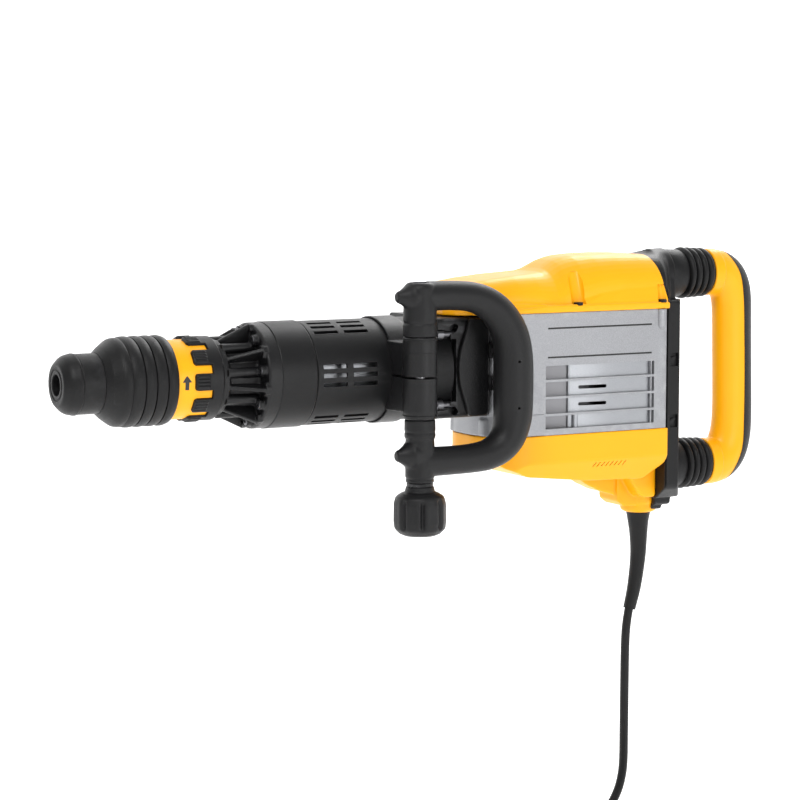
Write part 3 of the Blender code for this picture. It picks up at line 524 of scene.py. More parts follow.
def make_front_housing():
    low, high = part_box("front_housing")
    front, rear = low.x, high.x
    flange = -0.179
    core = rounded([
        (front, 0.023, 0), (front, 0.0352, 0.0015), (front + 0.0065, 0.0352, 0.0015),
        (front + 0.0085, 0.03, 0.003), (flange - 0.001, 0.0315, 0.004),
        (flange, 0.048, 0.001), (flange + 0.0015, 0.0495, 0.001), (rear, 0.0495, 0.0004),
        (rear, 0.046, 0), (-0.148, 0.046, 0), (-0.148, 0.023, 0)], 3)
    shapes = [revolve(core, 96)]
    rib = [(front + 0.0035, 0.027), (front + 0.0035, 0.0338), (-0.1835, 0.049),
           (flange + 0.004, 0.049), (flange + 0.004, 0.027)]
    for index in range(SCREW_COUNT):
        turn = 90 - SCREW_ANGLE + 360 * (index + 0.5) / SCREW_COUNT
        ridge = prism(rib, -0.0017, 0.0017)
        shapes.append(about(ridge, turn))
        foot = prism(rounded([(-0.0085, 0.044, 0.004), (0.0085, 0.044, 0.004), (0.003, 0.05, 0),
                              (-0.003, 0.05, 0)]), flange - 0.003, flange + 0.002, "X")
        shapes.append(about(foot, turn))
        y, z = screw_place(index)
        inward = 0.0335 / SCREW_CIRCLE
        shapes.append(bar((front + 0.004, y * inward, z * inward), (flange + 0.002, y * inward, z * inward),
                          0.0046, 24))
        shapes.append(bar((flange - 0.0055, y * 0.985, z * 0.985), (flange + 0.002, y * 0.985, z * 0.985),
                          0.0052, 24))
    holes = []
    for index in range(SCREW_COUNT):
        y, z = screw_place(index)
        holes.append(bar((flange - 0.012, y, z), (flange - 0.0038, y, z), 0.0042, 24))
    fused("ribbed_front_housing", shapes, CASTING, "housing", ["front_housing"],
          voxel=0.00065, rounds=5, cuts=holes, crease=55)


def socket_screw(name, at, radius, height, direction, body, nodes=()):
    """A cap screw with a hexagon socket; direction is where its head faces."""
    at, direction = Vector(at), Vector(direction).normalized()
    profile = rounded([(0, 0.0, 0), (0, radius, 0), (height, radius, 0.0006),
                       (height, radius * 0.55, 0.0003),
                       (height, 0.0, 0)], 3)
    profile = [(0, 0.0)] + [p for p in profile if p[1] > 1e-6] + [(height, 0.0)]
    head = revolve(profile, 32, AXIS_UP)
    turn = Vector((0, 0, 1)).rotation_difference(direction).to_matrix().to_4x4()
    place = Matrix.Translation(at) @ turn
    head.transform(place)
    hexagon = bar((0, 0, height * 0.35), (0, 0, height * 1.3), radius * 0.52, 6)
    hexagon.transform(place)
    return crisp(name, head, DARK_STEEL, body, nodes, cuts=[hexagon])


def make_front_screws():
    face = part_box("front_screw_1")[0].x
    for index in range(SCREW_COUNT):
        y, z = screw_place(index)
        nodes = [f"front_screw_{index // 2 + 1}"] if index % 2 == 0 else []
        socket_screw(f"front_cap_screw_{index + 1}", (face + 0.0036, y, z), 0.0037, 0.005,
                     (-1, 0, 0), "housing", nodes)


def make_barrel():
    low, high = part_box("barrel_front_cover")
    profile = rounded([(low.x, 0.047, 0), (low.x, 0.0497, 0.0005), (low.x + 0.0008, 0.0501, 0.0004),
                       (high.x - 0.001, 0.0501, 0.0008), (high.x, 0.0492, 0.0003), (high.x, 0.047, 0)], 4)
    crisp("front_barrel_sleeve", revolve(profile, 160), BLACK, "housing",
          ["barrel_front_cover"])
    low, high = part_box("barrel_rear_cover")
    profile = rounded([(low.x, 0.0465, 0), (low.x, 0.0484, 0.0003), (low.x + 0.0008, 0.0492, 0.0005),
                       (high.x - 0.0014, 0.0492, 0.001), (high.x, 0.0478, 0.0006), (high.x, 0.0465, 0)], 4)
    columns = ((-0.1232, -0.0982), (-0.0919, -0.0666))
    slots = []
    for centre in (1.2, 64.0, -63.0, 178.8, 116.0, 243.0):
        for row in (-10.0, 0.0, 10.0):
            for start, end in columns:
                outline = rounded([(start, -0.0021, 0.0007), (end, -0.0021, 0.0007),
                                   (end, 0.0021, 0.0007), (start, 0.0021, 0.0007)], 3)
                slots.append(about(prism(outline, -0.056, -0.04), -(centre + row)))
    crisp("vented_barrel_sleeve", revolve(profile, 160), BLACK, "housing",
          ["barrel_rear_cover"], cuts=slots)


# ---- gear housing ------------------------------------------------------------------------------
def oval(x, z, half_long, half_short, degrees, steps=28):
    """An ellipse outline turned by some degrees."""
    c, s = math.cos(math.radians(degrees)), math.sin(math.radians(degrees))
    points = []
    for step in range(steps):
        angle = 2 * math.pi * step / steps
        a, b = half_long * math.cos(angle), half_short * math.sin(angle)
        points.append((x + a * c - b * s, z + a * s + b * c))
    return points


def make_gear_housing():
    low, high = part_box("gear_housing")
    ear_x = -0.0015
    corners = [(-high.y, low.z, 0.006), (high.y, low.z, 0.006), (high.y, high.z, 0.006),
               (-high.y, high.z, 0.006)]
    shape = prism(rounded(corners, 5), ear_x, high.x, "X")
    cuts = [bar((-0.02, 0, 0), (low.x, 0, 0), 0.05, 128), bar((low.x - 0.001, 0, 0), (0.03, 0, 0),
                                                              0.0364, 64),
            block((low.x + 0.004, low.y + 0.004, low.z + 0.004),
                  (high.x + 0.01, high.y - 0.004, high.z - 0.004))]
    for side in (-1, 1):
        near, far = sorted((side * 0.04, side * 0.056))
        cuts.append(block((-0.01, near, -0.03), (0.0185, far, 0.03)))
        for z, tilt in ((0.0345, 1), (-0.033, -1)):
            cuts.append(block((-0.004, near, z - 0.0048), (0.0125, far, z + 0.0048)))
            slot = oval(0.015, z + tilt * 0.0052, 0.0062, 0.004, tilt * 32)
            cuts.append(prism(slot, near, far))
    crisp("gear_block", shape, CASTING, "housing", ["gear_housing"], cuts=cuts,
          edge=0.0009, segments=2, edge_angle=40)
    bulge = [(0.031, 0.049, 0.003), (0.0525, 0.049, 0.006), (0.0525, -0.0445, 0.006),
             (0.031, -0.0445, 0.003), (0.015, 0.0022, 0.1)]
    for side, name in SIDES:
        faces = sorted((side * 0.047, side * 0.0528))
        plate = prism(rounded(bulge, 10), *faces)
        crisp(f"block_plate_{name}", plate, CASTING, "housing",
              [f"side_plate_{name}"], edge=0.0018, segments=4, edge_angle=50)
        clips = []
        for z in (0.018, -0.013):
            clips.append(prism(rounded([(0.0515, z - 0.0074, 0.001), (0.0556, z - 0.0074, 0.001),
                                        (0.0556, z - 0.003, 0.0006), (0.0548, z - 0.0022, 0.0004),
                                        (0.0548, z + 0.0022, 0.0004), (0.0556, z + 0.003, 0.0006),
                                        (0.0556, z + 0.0074, 0.001), (0.0515, z + 0.0074, 0.001)], 3),
                               *sorted((side * 0.048, side * 0.0543))))
        crisp(f"block_clips_{name}", merged(clips), BLACK, "housing", edge=0.0003,
              segments=2)
        for level in ("upper", "lower"):
            low_b, high_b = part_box(f"flange_bolt_{level}_{name}")
            centre = (low_b + high_b) / 2
            head = revolve(rounded([(low_b.x, 0.0, 0), (low_b.x, 0.005, 0.001), (0.0048, 0.0056, 0.0005),
                                    (0.0048, 0.0031, 0), (high_b.x, 0.0031, 0), (high_b.x, 0.0, 0)], 3),
                           28, AXIS_BARREL, (0, centre.y, centre.z))
            crisp(f"flange_screw_{level}_{name}", head, DARK_STEEL, "housing",
                  [f"flange_bolt_{level}_{name}"])


# ---- motor housing -----------------------------------------------------------------------------
SEAM_TOP = 0.0512
SEAM_LOW = -0.0675
ROUND_FRONT = 0.045
PANEL_X = (0.1155, 0.2425)
PANEL_Z = (-0.0615, 0.0)
SLATS = (-0.0145, -0.031, -0.0477)
BAND_LINES = (0.0365, 0.0083)        # heights of the two lines round the plain name band


def front_arc(front, half, side, steps=16):
    """Quarter circle, seen from above, from the front face round to one side."""
    arc = []
    for step in range(steps + 1):
        angle = math.radians(90 * step / steps)
        arc.append((front + ROUND_FRONT * (1 - math.cos(angle)),
                    side * (half - ROUND_FRONT * (1 - math.sin(angle)))))
    return arc


def make_motor_housing():
    low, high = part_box("motor_housing")
    half = high.y
    body = low.x
    outline = rounded([(body, -half, 0.014), (high.x, -half, 0.006), (high.x, half, 0.006),
                       (body, half, 0.014)], 6)
    shell = prism(outline, SEAM_LOW, SEAM_TOP, "Z")
    thick = 0.004
    inner = rounded([(body + thick, thick - half, 0.01), (high.x - thick, thick - half, 0.004),
                     (high.x - thick, half - thick, 0.004), (body + thick, half - thick, 0.01)], 4)
    cuts = [prism(inner, SEAM_LOW - 0.01, SEAM_TOP + 0.01, "Z"),
            block((body - 0.01, -0.04, -0.03), (body + 0.01, 0.04, 0.06)),
            block((body - 0.01, -half - 0.01, SEAM_LOW - 0.01), (body + 0.059, half + 0.01, -0.0464))]
    edges = [PANEL_Z[1]]
    for slat in SLATS:
        edges += [slat + 0.0012, slat - 0.0012]
    edges.append(PANEL_Z[0])
    for upper, lower in zip(edges[::2], edges[1::2]):
        window = rounded([(PANEL_X[0], lower, 0.0008), (PANEL_X[1], lower, 0.0008),
                          (PANEL_X[1], upper, 0.0008), (PANEL_X[0], upper, 0.0008)], 3)
        cuts.append(prism(window, -half - 0.01, half + 0.01))
    for side in (-1, 1):
        face = side * half
        for z in BAND_LINES:
            depth = sorted((face - side * 0.0006, face + side * 0.002))
            cuts.append(block((0.1177, depth[0], z - 0.0008), (0.2393, depth[1], z + 0.0008)))
    shell_piece = crisp("silver_motor_housing", shell, SILVER, "housing",
                        ["motor_housing"], cuts=cuts, edge=0.0006, segments=2)
    shell_piece.data.materials.append(PRINT)
    for face in shell_piece.data.polygons:
        inset = half - abs(face.center.y)
        line = any(abs(face.center.z - z) < 0.0009 for z in BAND_LINES)
        if line and 0.0004 < inset < 0.0008 and 0.117 < face.center.x < 0.24:
            face.material_index = 1

    near, far = front_arc(body, half, -1), front_arc(body, half, 1)
    collar = near + [(body + 0.06, -half), (body + 0.06, half)] + list(reversed(far))
    step_z = -0.0463
    bosses = []
    for side in (-1, 1):
        place = (body + 0.0105, side * 0.027)
        bosses.append(revolve(rounded([(SEAM_LOW + 0.0002, 0.0, 0), (SEAM_LOW + 0.0002, 0.0085, 0),
                                       (step_z - 0.004, 0.0082, 0.004),
                                       (step_z - 0.0006, 0.0, 0)], 5), 40, AXIS_UP, (*place, 0)))
    fused("silver_front_collar", [prism(collar, SEAM_LOW, step_z, "Z")] + bosses, SILVER, "housing",
          voxel=0.0008, rounds=3)

    for side, name in SIDES:
        y = side * half
        out = y - side * 0.002
        bosses = [bar((0.2512, out, SEAM_TOP), (0.2512, out, 0.0345), 0.0056, 32, 0.005),
                  bar((0.2512, out, 0.0347), (0.2512, out - side * 0.001, 0.0285), 0.005, 32, 0.0014)]
        fused(f"screw_boss_{name}", bosses, SILVER, "housing", voxel=0.0005, rounds=4)
        post = block((PANEL_X[1] - 0.0034, min(y - side * 0.004, y - side * 0.001), PANEL_Z[0]),
                     (PANEL_X[1] - 0.0022, max(y - side * 0.004, y - side * 0.001), PANEL_Z[1]))
        crisp(f"louvre_post_{name}", post, SILVER, "housing", edge=0.0003, segments=2)

    # the curved air shroud behind the louvres, with its two slots, and the duct's edge ahead of it
    for side, name in SIDES:
        curve = [(x, side * y) for x, y in curved_shroud()]
        wall = prism(curve, PANEL_Z[0] - 0.004, PANEL_Z[1] + 0.004, "Z")
        slots = []
        for z in (-0.0228, -0.0393):
            slots.append(prism(rounded([(0.1573, z - 0.0017, 0.0016), (0.1889, z - 0.0017, 0.0016),
                                        (0.1889, z + 0.0017, 0.0016), (0.1573, z + 0.0017, 0.0016)], 4),
                               *sorted((side * 0.04, side * 0.06))))
        crisp(f"air_shroud_{name}", wall, SHROUD, "housing", cuts=slots, crease=40)
        # the duct plate takes the darker copy of the shroud metal, which is painted shade
        duct = [(0.113, 0.0385), (0.122, 0.041), (0.133, 0.0432), (0.1458, 0.0452), (0.1458, 0.0437),
                (0.133, 0.0417), (0.122, 0.0395), (0.113, 0.037)]
        crisp(f"air_duct_{name}", prism([(x, side * y) for x, y in duct], PANEL_Z[0] - 0.004,
                                        PANEL_Z[1] + 0.004, "Z"),
              SHADED_SHROUD, "housing")
        edge = bar((0.1462, side * 0.0463, PANEL_Z[0] - 0.003),
                   (0.1462, side * 0.0463, PANEL_Z[1] + 0.003), 0.0012, 20)
        post = bar((0.153, side * 0.0478, -0.064), (0.153, side * 0.0478, -0.047), 0.003, 24)
        crisp(f"shroud_post_{name}", merged([edge, post]), SHROUD, "housing")


def curved_shroud():
    """Outline seen from above of the thin wall that bulges out towards the louvres."""
    outer, inner = [], []
    for step in range(25):
        t = step / 24
        x = 0.146 + (0.252 - 0.146) * t
        depth = 0.0462 + 0.0032 * math.sin(math.radians(90) * min(1.0, t * 2.2))
        outer.append((x, depth))
        inner.append((x, depth - 0.002))
    return outer + list(reversed(inner))


# ---- yellow covers -----------------------------------------------------------------------------
def cover_section(width, top, rounding, base, steps=10):
    section = [(-width, base), (-width, base + 0.0085)]
    shoulder = width - 0.003
    for step in range(steps + 1):
        angle = math.radians(90 * step / steps)
        section.append((-(shoulder - rounding) - rounding * math.cos(angle),
                        top - rounding + rounding * math.sin(angle)))
    return section + [(-y, z) for y, z in reversed(section)]


def loft(rows):
    bm = bmesh.new()
    rings = [[bm.verts.new(point) for point in row] for row in rows]
    count = len(rings[0])
    for first, second in zip(rings, rings[1:]):
        for index in range(count):
            after = (index + 1) % count
            bm.faces.new((first[index], first[after], second[after], second[index]))
    bm.faces.new(list(reversed(rings[0])))
    bm.faces.new(rings[-1])
    bmesh.ops.recalc_face_normals(bm, faces=bm.faces)
    return bm


def make_top_cover():
    low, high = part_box("top_cover")
    base = low.z
    stations = (
        (0.012, 0.033, 0.06, 0.006), (0.0145, 0.037, 0.068, 0.011), (0.02, 0.042, 0.0735, 0.016),
        (0.03, 0.047, 0.0782, 0.02), (0.042, 0.0505, 0.0812, 0.0215), (0.06, 0.052, 0.0838, 0.0225),
        (0.09, 0.0537, 0.0868, 0.0245), (0.113, 0.0543, 0.0884, 0.028), (0.126, 0.0543, 0.0898, 0.033),
        (0.133, 0.0543, 0.0926, 0.039), (0.14, 0.0543, 0.0968, 0.043), (0.147, 0.0543, 0.1003, 0.044),
        (0.155, 0.0543, 0.1026, 0.043), (0.165, 0.0543, 0.1042, 0.04), (0.185, 0.0543, 0.1053, 0.036),
        (0.21, 0.0543, 0.1056, 0.0335), (0.235, 0.054, 0.105, 0.032), (0.25, 0.0535, 0.1041, 0.0305),
        (high.x, 0.0528, 0.1034, 0.0295))
    rows = [[(x, y, z) for y, z in cover_section(width, top, rounding, base)]
            for x, width, top, rounding in stations]
    shapes = [loft(rows)]
    lip = rounded([(0.03, base, 0), (high.x, base, 0), (high.x, base + 0.0066, 0.002),
                   (0.12, base + 0.0066, 0.05), (0.07, base + 0.004, 0.02), (0.03, base, 0)], 6)
    shapes.append(prism([(x, z) for x, z in lip[:-1]], -0.0562, 0.0562))
    cuts = []
    for side in (-1, 1):
        cuts.append(bar((0.1536, side * 0.0548, 0.059), (0.1536, side * 0.0452, 0.092), 0.0078, 40))
        cuts.append(bar((0.252, side * 0.057, 0.059), (0.252, side * 0.052, 0.076), 0.0062, 40, 0.0046))
    cuts.append(prism([(0.2596, 0.058), (0.247, 0.112), (0.27, 0.112), (0.27, 0.058)], -0.07, 0.07))
    cover = fused("yellow_top_cover", shapes, YELLOW, "housing", ["top_cover"],
                  voxel=0.0009, rounds=5, crease=60)
    cut_away(cover, cuts, dense=True)
    dress(cover, YELLOW, "housing", crease=38)
    for side, name in SIDES:
        for place, x, y in (("front", 0.1536, 0.052), ("rear", 0.252, 0.0525)):
            screw = socket_screw(f"cover_screw_{place}_{name}", (x, side * y, 0.0578), 0.0046,
                                 0.003, (0, 0, 1), "housing")
            screw.data.materials[0] = BLACK


def make_lower_housing():
    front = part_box("lower_housing")[0].x
    top = SEAM_LOW - 0.0003
    half = 0.0543
    body_end = 0.2595
    side = rounded([(front, top, 0), (body_end, top, 0), (body_end, -0.103, 0.01), (0.238, -0.119, 0.01),
                    (0.17, -0.1165, 0.05), (0.1, -0.1085, 0.014), (0.0749, -0.0985, 0.01),
                    (front, -0.085, 0.008)], 8)
    trough = prism(side, -half, half)
    wedge = []        # the sides turn in below the crease line
    for sign in (-1, 1):
        wedge.append(prism([(sign * 0.065, -0.0955), (sign * half, -0.0955), (sign * 0.042, -0.118),
                            (sign * 0.042, -0.14), (sign * 0.065, -0.14)], front - 0.01, body_end + 0.01,
                            "X"))
    front_round = []
    for sign in (-1, 1):
        arc = front_arc(front, half, sign)
        corner = [(front - 0.01, arc[0][1])] + arc + [(arc[-1][0], sign * 0.07),
                                                      (front - 0.01, sign * 0.07)]
        front_round.append(prism(corner, -0.2, 0.0, "Z"))
    trunk = to_object("trunk", trough)
    cut_away(trunk, wedge)
    cut_away(trunk, front_round)
    body = bmesh.new()
    body.from_mesh(trunk.data)
    bpy.data.objects.remove(trunk)
    fin = rounded([(0.17, -0.11, 0), (0.179, -0.1175, 0.006), (0.192, -0.1262, 0.012),
                   (0.207, -0.1332, 0.012), (0.226, -0.1385, 0.01), (0.248, -0.14, 0),
                   (0.248, -0.11, 0)], 6)
    boss_x = 0.262
    boss = rounded([(-0.1, 0.0, 0), (-0.1, 0.023, 0), (-0.133, 0.0212, 0.01), (-0.148, 0.0206, 0.002),
                    (-0.15, 0.019, 0.0015), (-0.156, 0.0184, 0.003), (-0.1585, 0.016, 0.003),
                    (-0.1585, 0.0, 0)], 5)
    neck = prism(rounded([(0.225, -0.11, 0), (0.225, -0.144, 0.004), (0.233, -0.15, 0.004),
                          (0.259, -0.15, 0), (0.259, -0.1, 0)], 5), -0.0165, 0.0165)
    shapes = [body, prism(fin, -0.0125, 0.0125), revolve(boss, 64, AXIS_UP, (boss_x, 0, 0)), neck,
              prism(rounded([(0.22, -0.105, 0), (0.2595, -0.105, 0), (0.2595, -0.14, 0.004),
                             (0.242, -0.14, 0.02)], 6), -0.034, 0.034)]
    cuts = [block((0.2597, -0.07, -0.1265), (0.3, 0.07, -0.05)), block((0.2835, -0.07, -0.17), (0.3,
                                                                                                0.07,
                                                                                                -0.05)),
            bar((boss_x, 0, -0.17), (boss_x, 0, -0.12), 0.0126, 40)]
    slits = []
    for side_sign in (-1, 1):
        for index in range(8):
            x = 0.172 + index * 0.005
            outline = [(x, -0.102), (x + 0.0012, -0.102), (x + 0.004, -0.0975), (x + 0.0028, -0.0975)]
            slits.append(prism(outline, *sorted((side_sign * 0.045, side_sign * 0.06))))
    cuts.append(merged(slits))
    fused("yellow_lower_housing", shapes, YELLOW, "housing", ["lower_housing"],
          voxel=0.0009, rounds=4, cuts=cuts, crease=45)


# ---- rear cover, switch, rear handle -----------------------------------------------------------
def make_rear_cover():
    front, rear = 0.2598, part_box("rear_cover")[1].x
    outline = rounded([(-0.0505, -0.129, 0.01), (-0.033, -0.142, 0.012), (0.033, -0.142, 0.012),
                       (0.0505, -0.129, 0.01), (0.051, 0.059, 0.003), (-0.051, 0.059, 0.003)], 8)
    shoulder = []
    for x, width, crown, rounding, base in (
            (0.243, 0.0522, 0.1034, 0.029, 0.056), (0.26, 0.052, 0.1034, 0.0295, 0.056),
            (0.2645, 0.047, 0.1042, 0.029, 0.0562), (0.27, 0.0385, 0.1062, 0.027, 0.057),
            (0.276, 0.031, 0.108, 0.0258, 0.0578), (0.28, 0.0275, 0.1086, 0.024, 0.0582),
            (rear, 0.0266, 0.1088, 0.0235, 0.0584)):
        shoulder.append([(x, y, z) for y, z in cover_section(width, crown, rounding, base)])
    top_piece = to_object("shoulder", loft(shoulder))
    cut_away(top_piece, [prism([(0.23, 0.04), (0.2599, 0.04), (0.2599, 0.0582), (0.2473, 0.112),
                                (0.23, 0.112)], -0.07, 0.07)])
    top_shape = bmesh.new()
    top_shape.from_mesh(top_piece.data)
    bpy.data.objects.remove(top_piece)
    shapes = [prism(outline, front, rear, "X"), top_shape,
              prism(rounded([(-0.027, -0.1505, 0.006), (0.027, -0.1505, 0.006), (0.027, -0.13, 0),
                             (-0.027, -0.13, 0)], 5), 0.264, 0.283, "X"),
              prism(rounded([(-0.021, -0.1555, 0.005), (0.021, -0.1555, 0.005), (0.021, -0.14, 0),
                             (-0.021, -0.14, 0)], 5), 0.264, 0.2765, "X")]
    for z in (0.083, -0.1125):
        shapes.append(bar((0.27, 0, z), (rear + 0.0008, 0, z), 0.0252, 64))
    cuts = [bar((0.262, 0, -0.17), (0.262, 0, -0.1262), 0.0196, 48),
            block((0.255, -0.0205, -0.17), (0.263, 0.0205, -0.1262)),
            block((0.282, -0.008, 0.018), (0.3, 0.008, 0.05))]
    for side in (-1, 1):
        cuts.append(prism([(0.2745, side * 0.052), (0.2755, side * 0.0475), (0.2815, side * 0.0385),
                           (0.29, side * 0.032), (0.296, side * 0.032), (0.296, side * 0.06),
                           (0.2745, side * 0.06)], -0.2, 0.06, "Z"))
        near, far = sorted((side * 0.048, side * 0.056))
        for z_low, z_high in ((-0.0069, 0.0065), (-0.0683, -0.0553)):
            cuts.append(block((0.2645, near, z_low), (0.2735, far, z_high)))
        near, far = sorted((side * 0.0492, side * 0.056))
        cuts.append(block((0.259, near, -0.2), (0.2612, far, 0.2)))
    fused("black_rear_cover", shapes, BLACK, "housing", ["rear_cover"], voxel=0.0009,
          rounds=4, cuts=cuts, crease=45)
    hooks = []
    for side in (-1, 1):
        for z in (0.0, -0.0618):
            tooth = prism(rounded([(0.264, z - 0.003, 0.0006), (0.269, z - 0.003, 0.0006),
                                   (0.2715, z + 0.0032, 0.0006), (0.266, z + 0.002, 0.0006)], 3),
                          *sorted((side * 0.047, side * 0.05)))
            hooks.append(tooth)
    crisp("rear_cover_hooks", merged(hooks), BLACK, "housing", edge=0.0003, segments=2)

    low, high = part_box("power_switch")
    slider = rounded([(0.288, low.z, 0.001), (0.2925, low.z, 0.002), (0.296, 0.044, 0.0015),
                      (0.2955, high.z, 0.001), (0.288, high.z, 0.001)], 4)
    nub = prism(slider, low.y, high.y)
    grooves = []
    for index in range(4):
        z = 0.03 + 0.0035 * index
        x = 0.2925 + (z - 0.027) / 0.017 * 0.0035
        grooves.append(bar((x + 0.0003, low.y + 0.002, z), (x + 0.0003, high.y - 0.002, z), 0.0008, 16))
    crisp("slide_switch", nub, RUBBER, "switch", ["power_switch"], cuts=grooves,
          edge=0.0005, segments=2)


ARM_HEIGHTS = (0.083, -0.1125)


def handle_sections():
    """Centre line of the D handle: x, z, half depth, half width."""
    return [
        (0.35, 0.0825, 0.0238, 0.0205), (0.359, 0.0805, 0.0236, 0.0198), (0.3675, 0.0745, 0.0232, 0.0188),
        (0.373, 0.065, 0.0226, 0.018), (0.3755, 0.052, 0.022, 0.0175), (0.3762, 0.035, 0.0216, 0.0172),
        (0.3768, 0.005, 0.0216, 0.0172), (0.3776, -0.03, 0.0216, 0.0172), (0.378, -0.06, 0.0218, 0.0173),
        (0.377, -0.08, 0.0224, 0.0176), (0.3735, -0.095, 0.023, 0.0182), (0.368, -0.1045, 0.0234, 0.019),
        (0.3595, -0.1105, 0.0238, 0.0198), (0.35, -0.1125, 0.024, 0.0205)]


def make_rear_handle():
    line = handle_sections()
    points = [(x, 0.0, z) for x, z, deep, wide in line]
    sections = [(deep, wide) for x, z, deep, wide in line]
    shape = sweep(refine(points, 4), refine(sections, 4), 40)
    boundary = [(0.36, 0.11), (0.365, 0.0985), (0.3745, 0.08), (0.379, 0.052), (0.3805, 0.0172),
                (0.3815, -0.03), (0.3812, -0.07), (0.3795, -0.0985), (0.37, -0.123), (0.364, -0.14)]
    smooth_line = refine(boundary, 6)
    behind = smooth_line + [(0.43, -0.16), (0.43, 0.13)]
    ahead = smooth_line + [(0.3, -0.16), (0.3, 0.13)]
    start_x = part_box("rear_handle")[0].x
    discs = [bar((0.3402, 0, z), (0.352, 0, z), 0.0238, 64) for z in ARM_HEIGHTS]
    rods = [bar((start_x, 0, z), (0.348, 0, z), 0.007, 32) for z in ARM_HEIGHTS]
    frame_piece = fused("yellow_handle_frame", [shape] + discs + rods, YELLOW, "rear_handle",
                        ["rear_handle"], voxel=0.0008, rounds=6)
    cut_away(frame_piece, [prism(behind, -0.05, 0.05), block((0.34, -0.03, -0.2),
                                                             (0.34015, 0.03, -0.19))], dense=True)
    dress(frame_piece, YELLOW, "rear_handle", crease=40)
    soft = sweep(refine(points, 4), refine([(d + 0.0002, w + 0.0004) for d, w in sections], 4), 40)
    grip = fused("soft_handle_back", [soft], GRIP, "rear_handle", ["handle_grip"],
                 voxel=0.0009,
                 rounds=5)
    cut_away(grip, [prism(ahead, -0.05, 0.05)], dense=True)
    dress(grip, GRIP, "rear_handle", crease=40)


def refine(points, parts):
    """A smooth curve through points, with parts steps between two of them."""
    out = []
    last = len(points) - 1
    for index in range(last):
        p0, p1 = points[max(0, index - 1)], points[index]
        p2, p3 = points[index + 1], points[min(last, index + 2)]
        for step in range(parts):
            t = step / parts
            out.append(tuple(
                0.5 * (2 * b + (c - a) * t + (2 * a - 5 * b + 4 * c - d) * t * t
                       + (3 * b - a - 3 * c + d) * t ** 3)
                for a, b, c, d in zip(p0, p1, p2, p3)))
    out.append(tuple(points[last]))
    return out


def make_boots():
    for level, z in zip(("upper", "lower"), ARM_HEIGHTS):
        low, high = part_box(f"boot_{level}")
        profile = [(low.x, 0.0205), (low.x, 0.0243), (low.x + 0.001, 0.0246)]
        profile += [(low.x + 0.0175, 0.024), (low.x + 0.0195, 0.0232)]
        ribs = 4
        start, pitch = low.x + 0.0205, 0.0078
        for rib in range(ribs):
            for step in range(9):
                t = step / 8
                x = start + rib * pitch + t * pitch * 0.94
                swell = math.sin(math.pi * t) ** 0.55
                profile.append((x, 0.0218 + (0.0262 - 0.0218 - 0.0004 * rib) * swell))
        profile += [(high.x, 0.0224), (high.x, 0.0195)]
        boot = to_object(f"ribbed_boot_{level}", revolve(profile, 80, AXIS_BARREL, (0, 0, z)))
        dress(boot, RUBBER, None, [f"boot_{level}"], crease=50)
        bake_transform(boot)
        spring_low, spring_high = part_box(f"handle_spring_{level}")
        spring = coil(f"damper_spring_{level}", spring_low.x + 0.0014, spring_high.x - 0.0014, z, 0.0125,
                      0.0014, 5)
        dress(spring, STEEL, None, [f"handle_spring_{level}"], crease=60)
        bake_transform(spring)


def coil(name, start_x, end_x, centre_z, radius, wire, turns):
    bm = bmesh.new()
    steps, sides = 20, 8
    rings = []
    for index in range(turns * steps + 1):
        angle = 2 * math.pi * index / steps
        x = start_x + (end_x - start_x) * index / (turns * steps)
        out = Vector((0, math.cos(angle), math.sin(angle)))
        middle = Vector((x, 0, centre_z)) + out * radius
        rings.append([bm.verts.new(middle + out * wire * math.cos(2 * math.pi * s / sides)
                                   + Vector((1, 0, 0)) * wire * math.sin(2 * math.pi * s / sides))
                      for s in range(sides)])
    for first, second in zip(rings, rings[1:]):
        for s in range(sides):
            bm.faces.new((first[s], first[(s + 1) % sides], second[(s + 1) % sides], second[s]))
    bm.faces.new(list(reversed(rings[0])))
    bm.faces.new(rings[-1])
    bmesh.ops.recalc_face_normals(bm, faces=bm.faces)
    return to_object(name, bm)


# ---- side grip ---------------------------------------------------------------------------------
SHAFT = (-0.038, -0.078)


